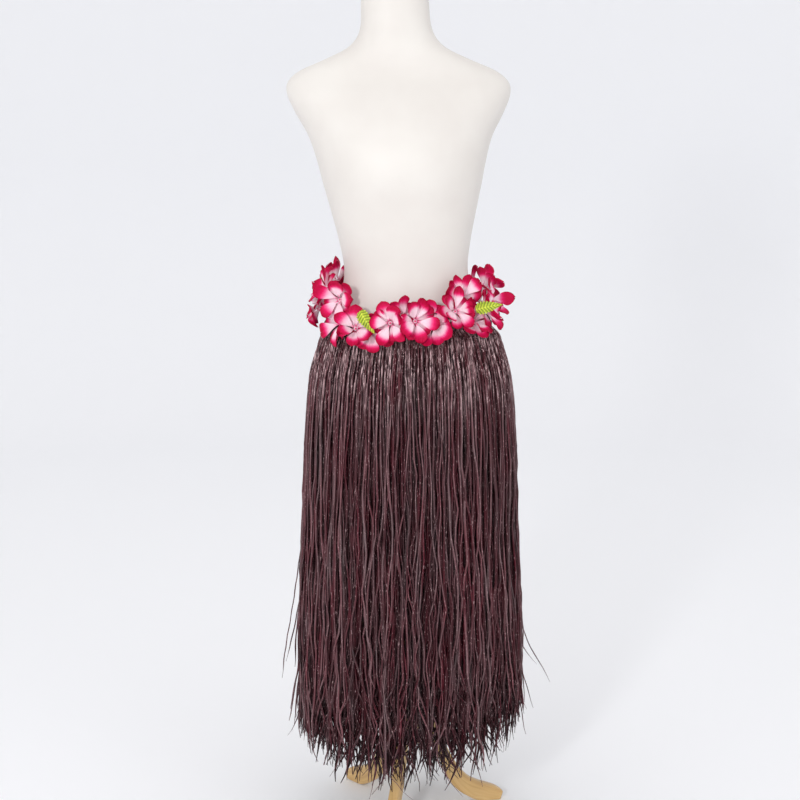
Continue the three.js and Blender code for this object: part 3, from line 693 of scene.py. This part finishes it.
def waves(random, count, along, amounts):
    """Each strand's own waves, slow and quick: a sum of kinked sines of random phase and length."""
    total = np.zeros((count, along.size))
    for cycles, amount in amounts:
        frequency = cycles * random.uniform(0.7, 1.4, (count, 1))
        phase = random.uniform(0, TURN, (count, 1))
        size = amount * random.uniform(0.4, 1.3, (count, 1))
        total += size * np.arcsin(0.97 * np.sin(TURN * frequency * along + phase)) / 1.3
    return total


def kinks(random, count, along, runs, amount):
    """Each strand's own bends: straight runs between random offsets, starting at a random place."""
    offsets = amount * random.normal(size=(count, runs + 2))
    place = along * runs + random.random((count, 1))
    before = np.floor(place).astype(int)
    strand = np.arange(count)[:, None]
    share = place - before
    return offsets[strand, before] * (1 - share) + offsets[strand, before + 1] * share


def strand_stations():
    """Shares of a strand's length: close in the crinkled top, wide apart below it, close near the tip."""
    ends = np.cumsum([0, CRINKLED_LONG, PLAIN_LONG, ROOT_Z - HEM_Z - CRINKLED_LONG - PLAIN_LONG])
    counts = (CRINKLED_STATIONS, PLAIN_STATIONS, KINKED_STATIONS)
    parts = [np.linspace(ends[k], ends[k + 1], counts[k], endpoint=k == 2) for k in range(3)]
    return np.concatenate(parts) / (ROOT_Z - HEM_Z)


def gathered(place, z, bundles, pull, wander):
    """Draws strands together round the girth: each moves towards the middle of its bundle, all the
    way when the pull is 1, and the bundles' middles wander with height."""
    turn = TURN * (bundles * place + wander * np.sin(9 * z + 5 * TURN * place))
    return place - pull / (TURN * bundles) * np.sin(turn)


def strand_paths(panel):
    """Where a panel's strands run. Height falls evenly from root to tip. Outward is the skirt's own
    section, less each strand's depth, and above the waist's lower edge it is the form's. Sideways
    is a share of the girth, moved by waves, kinks, a long drift and a splay that starts near the
    hem, and then gathered into bundles. Returns the points, the ways round and out, each station's
    share of the length and height, each strand's depth and width, and the panel's random source."""
    random = np.random.default_rng(STRAND_SEED + panel)
    count = STRANDS_A_PANEL
    t = strand_stations()[None, :]
    share = (panel + (np.arange(count) + random.random(count)) / count) / PANELS
    outer = (np.arange(count) + panel) % OUTER_EVERY == 0
    depth = np.where(outer, 0.08 * random.random(count), 0.14 + 0.86 * np.sqrt(random.random(count)))
    angle = angle_of(share)
    tip = HEM_Z + HEM_DIP * np.sin(angle) + HEM_SIDES * np.cos(angle) ** 2
    tip = tip + HEM_LEFT_HIP * np.maximum(0, np.cos(angle + 0.5)) ** 6
    tip = tip + HEM_RAGGED * random.normal(size=count) + 12 * MM * (depth - 0.5)
    short = (depth < 0.6) & (random.random(count) < SHORT_SHARE)
    tip = np.clip(tip + short * random.uniform(*SHORTER_BY, count) * MM, LOWEST_TIP, HIGHEST_TIP)
    reach, round_, leaves = np.zeros(count), np.zeros(count), np.ones(count)
    wide = STRAND_WIDE * np.exp(0.20 * random.normal(size=count))
    for around, out, tip_z, from_z, sideways in STRAYS:
        strand = math.floor(count * (PANELS * share_of(math.radians(around)) - panel))
        if 0 <= strand < count:
            reach[strand], tip[strand], leaves[strand] = out * MM, tip_z * MM, from_z * MM
            round_[strand], depth[strand] = sideways * MM, 0.0
            wide[strand] = 0.7 * STRAND_WIDE
    z = ROOT_Z - (ROOT_Z - tip[:, None]) * t
    low = smooth_step(*LOOSENING, z)
    hem = smooth_step(*TANGLING, z)
    crinkle = smooth_step(*CRINKLING, z) * smooth_step(*UNDER_BAND, z)
    free = np.clip((leaves[:, None] - z) / (leaves - tip)[:, None], 0, 1)
    sway = waves(random, count, t, SWAY_WAVES) * (0.3 + 0.7 * low)
    sway += kinks(random, count, t, *KINKS) * (0.35 + 0.65 * low)
    sway += kinks(random, count, t, *HEM_KINKS) * hem
    sway += crinkle * 0.35 * MM * random.normal(size=z.shape)
    drift = random.normal(size=count) * np.where(random.random(count) < FAR_DRIFT_SHARE, FAR_DRIFT, DRIFT) * MM
    sway += drift[:, None] * smooth_step(*DRIFTING, z)
    below = np.maximum(0, 1.0 - (z - tip[:, None]) / LOOSE_TIP) ** 1.6
    splay = np.tan(np.radians(random.normal(size=count) * SPLAY))[:, None]
    sway += below * SPLAY_LONG * splay + round_[:, None] * free**1.2
    place = share[:, None] + sway / GIRTH
    place = gathered(place, z, BUNDLES, 0.42 * low * (1 - hem), 0.5)
    place = gathered(place, z, HEM_BUNDLES, 0.58 * hem, 0.30)
    angle = angle_of(place)
    lift = waves(random, count, t, LIFT_WAVES) * (0.25 + 0.75 * low)
    lift += crinkle * 0.3 * MM * random.normal(size=z.shape)
    tips_out = below * FLARE_LONG * np.tan(np.radians(random.normal(*FLARE, (count, 1))))
    inwards = depth[:, None] * SKIRT_DEEP * smooth_step(*DEEPENING, z)
    grow = lift + reach[:, None] * free**1.4 + tips_out - inwards
    grow -= DRAWN_IN
    hanging = section_point(SKIRT_LEVELS, z, angle, grow)
    bound = form_point(z, angle, ROOT_FAR - (ROOT_FAR - ROOT_NEAR) * depth[:, None])
    held = smooth_step(*HELD, z)[..., None]
    points = hanging * (1 - held) + bound * held
    before, after = (section_point(SKIRT_LEVELS, z, angle + step) for step in (-0.01, 0.01))
    way_round = unit(after - before)
    way_out = stacked(way_round[..., 1], -way_round[..., 0], 0.0)
    return points, way_round, way_out, t, z, depth, wide, random


def strand_panel(panel):
    """Three-sided strands along the panel's paths, with a ridge outwards. The section turns a little
    as it goes down, its width breathes and is crumpled in the top, and it narrows to the tip."""
    points, way_round, way_out, t, z, depth, wide, random = strand_paths(panel)
    count, stations = z.shape
    crumple = smooth_step(*CRUMPLING, z)
    wide = wide[:, None] * (1 + waves(random, count, t, WIDTH_WAVES))
    wide = wide * (1 + 0.13 * crumple * random.normal(size=z.shape).clip(-2, 2))
    narrow_top, narrow_tip = 0.62 + 0.38 * smooth_step(*WIDENING, z), smooth_step(1.0, 0.93, t) ** 0.8
    wide = wide * narrow_top * (0.26 + 0.74 * narrow_tip)
    twist = random.uniform(-0.5, 0.5, (count, 1)) + waves(random, count, t, TWIST_WAVES)
    twist = twist + 0.28 * crumple * random.normal(size=z.shape)
    flat = way_round * np.cos(twist)[..., None] + way_out * np.sin(twist)[..., None]
    thick = -way_round * np.sin(twist)[..., None] + way_out * np.cos(twist)[..., None]
    corners = [(-0.5, -0.5 * STRAND_THICK), (0.5, -0.5 * STRAND_THICK), (0.0, 0.5 * STRAND_THICK)]
    ring = np.stack([points + wide[..., None] * (a * flat + b * thick) for a, b in corners], axis=2)
    faces = repeated(tube_faces(stations, 3), count, stations * 3)
    # Painted shade: a strand's tone falls the deeper it hangs, with a random tone of its own on top
    tone = np.clip(0.92 - 0.95 * depth + 0.16 * random.normal(size=count), 0, 1)
    tone = np.broadcast_to(tone[:, None, None], (count, stations, 3))
    # The crinkled top's mark: it sets the crinkle relief, and where the painted highlights and glints gather
    crinkle = np.broadcast_to(smooth_step(*CRINKLE_AND_HIGHLIGHT, z)[..., None], (count, stations, 3))
    return (ring, faces), tone, crinkle


def add_strands():
    """A piece of strands for each panel of the source."""
    raffia = raffia_finish()
    for panel in range(PANELS):
        shape, tone, crinkle = strand_panel(panel)
        name = f"{panel + 1:02d}"
        make_piece(
            f"strands_{name}", shape, raffia, "raffia", [f"skirt_panel_{name}"], tone=tone, crinkle=crinkle
        )


PLAIT_PLIES = 3
PLAIT_CROSSINGS = 46
PLY_RADIUS = 2.5 * MM
PLAIT_OUT = 10 * MM  # from the form to the middle of the plait
PLAIT_HIGH, PLAIT_DEEP = 6.4 * MM, 1.7 * MM  # each ply swings this far up and down, and in and out
PLAIT_STATIONS, PLY_SIDES = 644, 6
TAPE_NEAR, TAPE_FAR = 1.8 * MM, 3.6 * MM  # the tape's two faces, from the form
TAPE_ROWS, TAPE_STATIONS = 7, 240


def tube_shape(path, radius, sides, aside, upward, closed=True):
    """A round section carried along a path, on the directions aside and upward, with lengths as UV."""
    corner = round_turn(sides)
    c, s = np.cos(corner)[None, :, None], np.sin(corner)[None, :, None]
    radius = np.broadcast_to(radius, len(path))[:, None, None]
    points = path[:, None, :] + radius * (c * aside[:, None, :] + s * upward[:, None, :])
    faces = [grid_faces(len(path), sides, close_rows=True)] if closed else tube_faces(len(path), sides)
    return points, faces, stacked(lengths_along(path)[:, None], MM * np.sin(corner))


def add_waist():
    """A flat tape round the form, and outside it a three-ply plait: each ply swings up and down as a
    sine and in and out at twice that rate, a third of a swing behind the last."""
    plait = plait_finish()
    angle = angle_of(np.linspace(0, 1, PLAIT_STATIONS, endpoint=False))
    plies = []
    for ply in range(PLAIT_PLIES):
        phase = TURN * (PLAIT_CROSSINGS * np.arange(PLAIT_STATIONS) / PLAIT_STATIONS + ply / PLAIT_PLIES)
        height = (BAND_BOTTOM + BAND_TOP) / 2 + PLAIT_HIGH * np.sin(phase)
        path = form_point(height, angle, PLAIT_OUT + PLAIT_DEEP * np.sin(2 * phase))
        out, _, up = form_frame(height, angle)
        plies.append(tube_shape(path, PLY_RADIUS, PLY_SIDES, out, up))
    make_piece("waist_plait", joined(plies), plait, "band")
    ends = ((BAND_BOTTOM, BAND_TOP), (BAND_TOP, BAND_BOTTOM))
    height = np.concatenate([np.linspace(*pair, TAPE_ROWS) for pair in ends])
    off = np.repeat([TAPE_FAR, TAPE_NEAR], TAPE_ROWS)
    turns = angle_of(np.linspace(0, 1, TAPE_STATIONS, endpoint=False))
    points = form_point(height[None, :], turns[:, None], off[None, :])
    middle = form_point(np.full(TAPE_STATIONS, height.mean()), turns, (TAPE_NEAR + TAPE_FAR) / 2)
    round_the_waist = np.linalg.norm(middle - np.roll(middle, 1, axis=0), axis=1).sum()
    uv = stacked(np.linspace(0, round_the_waist, TAPE_STATIONS)[:, None], height)
    shape = points, [grid_faces(TAPE_STATIONS, 2 * TAPE_ROWS, close_rows=True)], uv
    tape = make_piece("waist_tape", shape, plait, "band", ["skirt_waistband"])


# ---- The flower belt ----

CORD_Z, CORD_DIP = 920 * MM, 20 * MM
CORD_CLEAR = 15.4 * MM  # from the form to the cord's middle
CORD_STATIONS, CORD_TWISTS = 640, 130
CORD_PLY_OUT, CORD_PLY_RADIUS, CORD_PLY_SIDES = 1.05 * MM, 1.2 * MM, 7

# Where each flower sits: angle, height over the cord, and its throat's distance from the form, in mm.
FLOWERS = [
    (-87, -1, 27), (-100, -4, 27), (-60, 8, 28), (-123, -20, 27), (-141, 22, 27), (-33, 0, 27),
    (-162, 31, 27), (-171, -8, 27), (18, 12, 27), (-74, -7, 21), (-113, -18, 21), (-47, -13, 21),
    (-94, 2, 21), (-49, 27, 20), (-10, 6, 21), (-137, -14, 21), (172, 14, 21), (152, 24, 27),
    (40, -4, 27), (54, 18, 21), (66, -8, 27), (79, 12, 21), (92, -6, 27), (104, 14, 21),
    (116, -8, 27), (130, 12, 21), (146, -12, 27),
]
FACE_TILT = 23  # degrees that a flower may nod or turn
FLOWER_SPIN = 36  # degrees that it may be turned about its own axis
FLOWER_SEED = 500
FACE_HIGH, FACE_SLOPE = 9.4 * MM, 8.5 * MM  # the climb out of the throat, and the slope beyond it
PETALS = 5
PETAL_WALL = 0.5 * MM
PETAL_RAISED = 46  # degrees that a petal may stand up from its flower, and less at the hips
PETAL_ROWS, PETAL_COLUMNS = 15, 11
# Two whorls: length, half-width, how far behind the first, the turn between them, and unruliness.
WHORLS = [(40 * MM, 13.2 * MM, 0.0, 0, 1.0), (35 * MM, 12.6 * MM, 6.0 * MM, 36, 0.6)]
THROAT_RADIUS, THROAT_ROWS, THROAT_SIDES = 3.4 * MM, 6, 10
FLOWER_RADIUS = 38 * MM
PRESSED_NEAR, PRESSED_FAR = 30 * MM, 42 * MM  # a flower presses fully within, and not at all beyond
PRESSED_WITHIN = 50  # degrees between flowers that may touch


def cord_z(angle):
    """The belt's height: it dips in front."""
    return CORD_Z + CORD_DIP * np.sin(angle)


def belt_place(around, up, out):
    """A point off the form, and the form's directions there: out, round and up."""
    angle = math.radians(around)
    z = cord_z(angle) + up * MM
    out_way, round_way, up_way = form_frame(z, angle)
    return form_point(z, angle) + out_way * out * MM, out_way, round_way, up_way, angle


def petal_width(s):
    """An egg-shaped outline, widest at 0.67 of the length and rounded at the tip: sin(pi s^1.75)^0.62."""
    return np.sin(math.pi * np.clip(s, 0, 1) ** 1.75) ** 0.62


def flower_rise(r, number):
    """A flower's height at a distance from its middle: it climbs out of the throat as
    1 - exp(-r / 5 mm) and then slopes up, each flower by its own amount."""
    slope = FACE_SLOPE * (1 + 0.45 * chance(number, 43))
    return FACE_HIGH * (1 - np.exp(-r / (5 * MM))) + slope * np.clip((r - 6 * MM) / (32 * MM), 0, 1) ** 1.3


def whorl(random, number, most_raised, length, half_wide, behind, turned, unruly):
    """Five petals in the flower's own axes, with s from 0 to 1 along each and v from -1 to 1 across. On
    the flower's rise, a petal cups as v^2, waves near the rim, and tilts so that one edge lies over its
    neighbour. Each has its own lift, cup and curl at the tip, and a few stand up. Returns the points,
    their blush and their UV."""
    def own(low, high):
        """A number for each petal."""
        return random.uniform(low, high, (PETALS, 1, 1))

    s = np.linspace(0, 1, PETAL_ROWS)[None, :, None] ** 0.9
    v, below = front_and_back(PETAL_COLUMNS)
    petal = np.arange(PETALS)[:, None, None]
    along = (length * own(0.84, 1.05) - THROAT_RADIUS) * s
    raised = unruly * most_raised * own(0, 1) ** 2.4
    r = THROAT_RADIUS + along * np.cos(raised)
    half = half_wide * own(0.84, 1.06) * np.maximum(petal_width(s), 0.05)
    q = half * v
    q_narrowed = q * (1 - 0.10 * own(0, 1) * np.abs(v))
    lift = 5.5 * MM * np.where(turned, own(-0.8, 0), chance(number, 37 + petal)) * s
    cup = own(1.0, 9.5) * MM * v**2 * np.sin(math.pi * np.clip(s, 0, 0.92)) ** 0.7
    ruffle = own(0.5, 2.1) * MM * np.sin(3.1 * math.pi * v + own(0, TURN)) * s**3
    crease = -0.7 * MM * np.exp(-(v / 0.13) ** 2) * np.sin(math.pi * s)
    curl = own(-12, 7) * MM * np.clip((s - 0.55) / 0.45, 0, 1) ** 2
    tilt = np.tan(np.radians(own(4, 20))) * q * s
    height = flower_rise(r, number) + along * np.sin(raised) + lift + crease - behind * (0.6 + 0.4 * s)
    height = height + unruly * (cup + ruffle + curl + tilt)
    height = height - PETAL_WALL * below
    turn = TURN * petal / PETALS + math.radians(turned) + np.radians(own(-10, 10))
    x = r * np.cos(turn) - q_narrowed * np.sin(turn)
    y = r * np.sin(turn) + q_narrowed * np.cos(turn)
    edge = s + 0.16 * np.abs(v) ** 3 * smooth_step(0.3, 0.65, s)
    blush = smooth_step(own(0.16, 0.48), own(0.76, 1.0), edge)
    root = smooth_step(0.16, 0.04, s) * 0.55
    return stacked(x, y, height), np.maximum(blush, root), stacked(v + 3 * petal, s)


def flower_throat(towards_cord):
    """The cloth tube behind a flower, from its throat to the cord, and the small eye in its middle."""
    corner = round_turn(THROAT_SIDES)
    ring = stacked(np.cos(corner), np.sin(corner), 0.0)
    share = np.linspace(0, 1, THROAT_ROWS)[:, None, None]
    top = np.array([0, 0, 4.0 * MM])
    radius = THROAT_RADIUS * (1.15 - 0.55 * share)
    tube = top + (towards_cord - top) * share + ring * radius
    dome = np.linspace(0.0, 0.98, THROAT_ROWS)[:, None, None] * math.pi / 2
    eye = ring * 1.9 * MM * np.cos(dome) + np.array([0, 0, 1.0]) * (3.4 * MM + 2.4 * MM * np.sin(dome))
    return [(points, tube_faces(THROAT_ROWS, THROAT_SIDES)) for points in (tube, eye)]


def flower_place(number):
    """Where a flower's throat is, its own axes (across, rise and the way it faces), and its angle."""
    point, out, round_way, up, angle = belt_place(*FLOWERS[number])
    nod = math.radians(FACE_TILT * chance(number, 23))
    turn = math.radians(FACE_TILT * chance(number, 29))
    spin = math.radians(FLOWER_SPIN * chance(number, 31))
    axis = unit(out + up * math.tan(nod) + round_way * math.tan(turn))
    across = unit(round_way - axis * np.dot(round_way, axis))
    rise = np.cross(axis, across)
    axes = np.stack([
        across * math.cos(spin) + rise * math.sin(spin), rise * math.cos(spin) - across * math.sin(spin), axis,
    ])
    return point, axes, angle


def pressed(points, in_front):
    """Petals give way to each flower in front: what would stand in its petals is pushed back under
    them, fully near the flower's middle and less and less towards its rim."""
    for number in in_front:
        centre, axes, _ = flower_place(number)
        local = (points - centre) @ axes.T
        radius = np.hypot(local[..., 0], local[..., 1])
        under = flower_rise(radius, number) - 4 * MM - 5.5 * MM * radius / FLOWER_RADIUS
        over = np.maximum(0, local[..., 2] - under) * smooth_step(PRESSED_FAR, PRESSED_NEAR, radius)
        over = np.maximum(over, over[..., ::-1])  # a petal's two faces move together
        points = points - over[..., None] * axes[2]
    return points


def add_flower(number, in_front, material):
    """A flower's two whorls, pressed back by the flowers in front of it, with its throat and eye."""
    point, axes, angle = flower_place(number)
    random = np.random.default_rng(FLOWER_SEED + number)
    most_raised = math.radians(PETAL_RAISED) * (0.35 + 0.65 * math.sin(angle) ** 2)
    shapes, blushes = [], []
    for measures in WHORLS:
        points, blush, uv = whorl(random, number, most_raised, *measures)
        faces = repeated(tube_faces(PETAL_ROWS, 2 * PETAL_COLUMNS), PETALS, PETAL_ROWS * 2 * PETAL_COLUMNS)
        shapes.append((pressed(point + points @ axes, in_front), faces, uv))
        blushes.append(np.broadcast_to(blush, points.shape[:-1]).ravel())
    cord = form_point(cord_z(angle), angle, CORD_CLEAR)
    for (points, faces), blush in zip(flower_throat(axes @ (cord - point)), (0.12, 0.62)):
        shapes.append((point + points @ axes, faces, np.zeros_like(points[..., :2])))
        blushes.append(np.full(points[..., 0].size, blush))
    name = f"{number + 1:02d}"
    blush = np.concatenate(blushes)
    make_piece(f"flower_{name}", joined(shapes), material, "petal", [f"belt_flower_{name}"], blush=blush)


# Leaves: angle, height over the cord, the stalk's distance from the form, aim, lift and length.
LEAVES = [
    (-119, 9, 45, -50, -4, 46), (-47, 4, 44, 6, 38, 46), (178, 8, 34, 118, 12, 44),
    (134, 4, 34, -36, 14, 46), (86, 6, 36, 148, 10, 46), (44, 8, 34, 40, 12, 45),
]
LEAF_HALF_WIDE = 11.5 * MM
LEAF_WALL = 0.7 * MM
LEAF_ARCH, LEAF_FOLD, LEAF_RIB = 3 * MM, 3.2 * MM, 0.5 * MM
LEAF_TEETH = 9
LEAF_ROWS, LEAF_COLUMNS = 91, 13


def add_leaf(number, material):
    """A blade whose half-width is a rounded lance with saw teeth. It arches along its length, folds
    along its middle, and has a raised rib to each tooth."""
    around, up_mm, out_mm, aim, lift, long = LEAVES[number]
    point, out, round_way, up, _ = belt_place(around, up_mm, out_mm)
    aim, lift = math.radians(aim), math.radians(lift)
    along = (round_way * math.cos(aim) + up * math.sin(aim)) * math.cos(lift) + out * math.sin(lift)
    face = unit(out - along * np.dot(out, along))
    across = np.cross(face, along)
    s = np.linspace(0, 1, LEAF_ROWS)[:, None]
    v, below = front_and_back(LEAF_COLUMNS)
    tooth = (LEAF_TEETH * s) % 1
    lance = np.sin(math.pi * s**0.52) ** 0.85
    half = LEAF_HALF_WIDE * np.maximum(lance * (1 - 0.28 * tooth**1.3), 0.03)
    ribs = np.sin(TURN * (LEAF_TEETH * s + 1.1 * (1 - np.abs(v))))
    height = LEAF_ARCH * np.sin(math.pi * s) + LEAF_FOLD * np.abs(v) * lance + LEAF_RIB * ribs * lance
    height = height - 2 * MM - LEAF_WALL * below + 2.5 * MM * s**2 * chance(number, 71)
    sweep = half * v + 4 * MM * chance(number, 73) * s**2
    points = point + s[..., None] * long * MM * along + sweep[..., None] * across + height[..., None] * face
    # Colour mark: lighter along the midrib, the cloth's own, with painted light on the raised ribs and painted
    # shade in the grooves
    rib = np.broadcast_to(0.42 + 0.4 * ribs + 0.5 * np.exp(-(v / 0.10) ** 2), sweep.shape)
    name = f"{number + 1:02d}"
    shape = points, tube_faces(LEAF_ROWS, 2 * LEAF_COLUMNS)
    make_piece(f"leaf_{name}", shape, material, "leaf", [f"belt_leaf_{name}"], rib=rib)


def add_belt_cord(material):
    """Two plies of cotton twisted round the belt's line: each is offset by a turning radius."""
    angle = round_turn(CORD_STATIONS)
    line = form_point(cord_z(angle), angle, CORD_CLEAR)
    out, _, up = form_frame(cord_z(angle), angle)
    plies = []
    for ply in range(2):
        phase = (CORD_TWISTS * angle + math.pi * ply)[:, None]
        path = line + CORD_PLY_OUT * (np.cos(phase) * out + np.sin(phase) * up)
        plies.append(tube_shape(path, CORD_PLY_RADIUS, CORD_PLY_SIDES, out, up))
    make_piece("belt_cord_twist", joined(plies)[:2], material, "cord", ["belt_cord"])


TIE = (-69, 7, 31)  # angle, height over the cord and distance from the form, as for a flower
TIE_AIMS = (8, 172)  # the ends' directions, in degrees
TIE_END, TIE_HALF_WIDE, TIE_HALF_THICK = 26 * MM, 1.5 * MM, 0.55 * MM
KNOT_PLY, KNOT_STATIONS, TIE_STATIONS, TIE_SIDES = 1.15 * MM, 96, 26, 8


def add_tie(material):
    """The drawstring's knot, one ply wound over itself, with two flat free ends that droop a little."""
    point, out, round_way, up, _ = belt_place(*TIE)
    axes = np.stack([round_way, up, out])
    t = round_turn(KNOT_STATIONS)
    loop = 0.9 * np.cos(3 * t)
    wound = stacked((2.3 + loop) * np.cos(2 * t), (1.7 + loop) * np.sin(2 * t), 1.3 * np.sin(3 * t)) * MM
    ahead = unit(np.roll(wound, -1, axis=0) - np.roll(wound, 1, axis=0))
    aside = unit(np.cross(ahead, np.array([0.3, 0.2, 1.0])))
    shapes = [tube_shape(wound, KNOT_PLY, TIE_SIDES, aside, np.cross(ahead, aside))]
    share = np.linspace(0, 1, TIE_STATIONS)
    for k, aim in enumerate(TIE_AIMS):
        aim = math.radians(aim)
        along = np.array([math.cos(aim), math.sin(aim), 0])
        across = np.array([-math.sin(aim), math.cos(aim), 0])
        bow = (5 if k else -5) * share**2 + 0.6 * np.sin(9 * share)
        path = share[:, None] * TIE_END * along + MM * bow[:, None] * across
        path[:, 2] += 1.2 * MM * np.sin(math.pi * share)
        wide = TIE_HALF_WIDE * (0.75 + 0.35 * np.sin(5 * share + k)) * (1 - 0.75 * share**4)
        flat = across * wide[:, None]
        thin = np.array([[0, 0, TIE_HALF_THICK]])
        shapes.append(tube_shape(path, 1.0, TIE_SIDES, flat, thin, closed=False))
    local, face_sets, uv = joined(shapes)
    make_piece("waist_tie", (point + local @ axes, face_sets, uv), material, "band", ["skirt_tie"])


def add_flower_belt():
    """The cord, the flowers from the outermost inwards, the leaves and the tie."""
    add_belt_cord(cotton_finish())
    petal, leaf = petal_finish(), leaf_finish()
    nearest_first = sorted(range(len(FLOWERS)), key=lambda number: -FLOWERS[number][2])
    for place, number in enumerate(nearest_first):
        apart = [abs(math.remainder(FLOWERS[number][0] - FLOWERS[k][0], 360)) for k in nearest_first[:place]]
        near = [k for k, degrees in zip(nearest_first, apart) if degrees < PRESSED_WITHIN]
        add_flower(number, near, petal)
    for number in range(len(LEAVES)):
        add_leaf(number, leaf)
    add_tie(plait_finish())


add_camera()
add_stage()
add_lighting()
add_form_and_stand()
add_strands()
add_waist()
add_flower_belt()
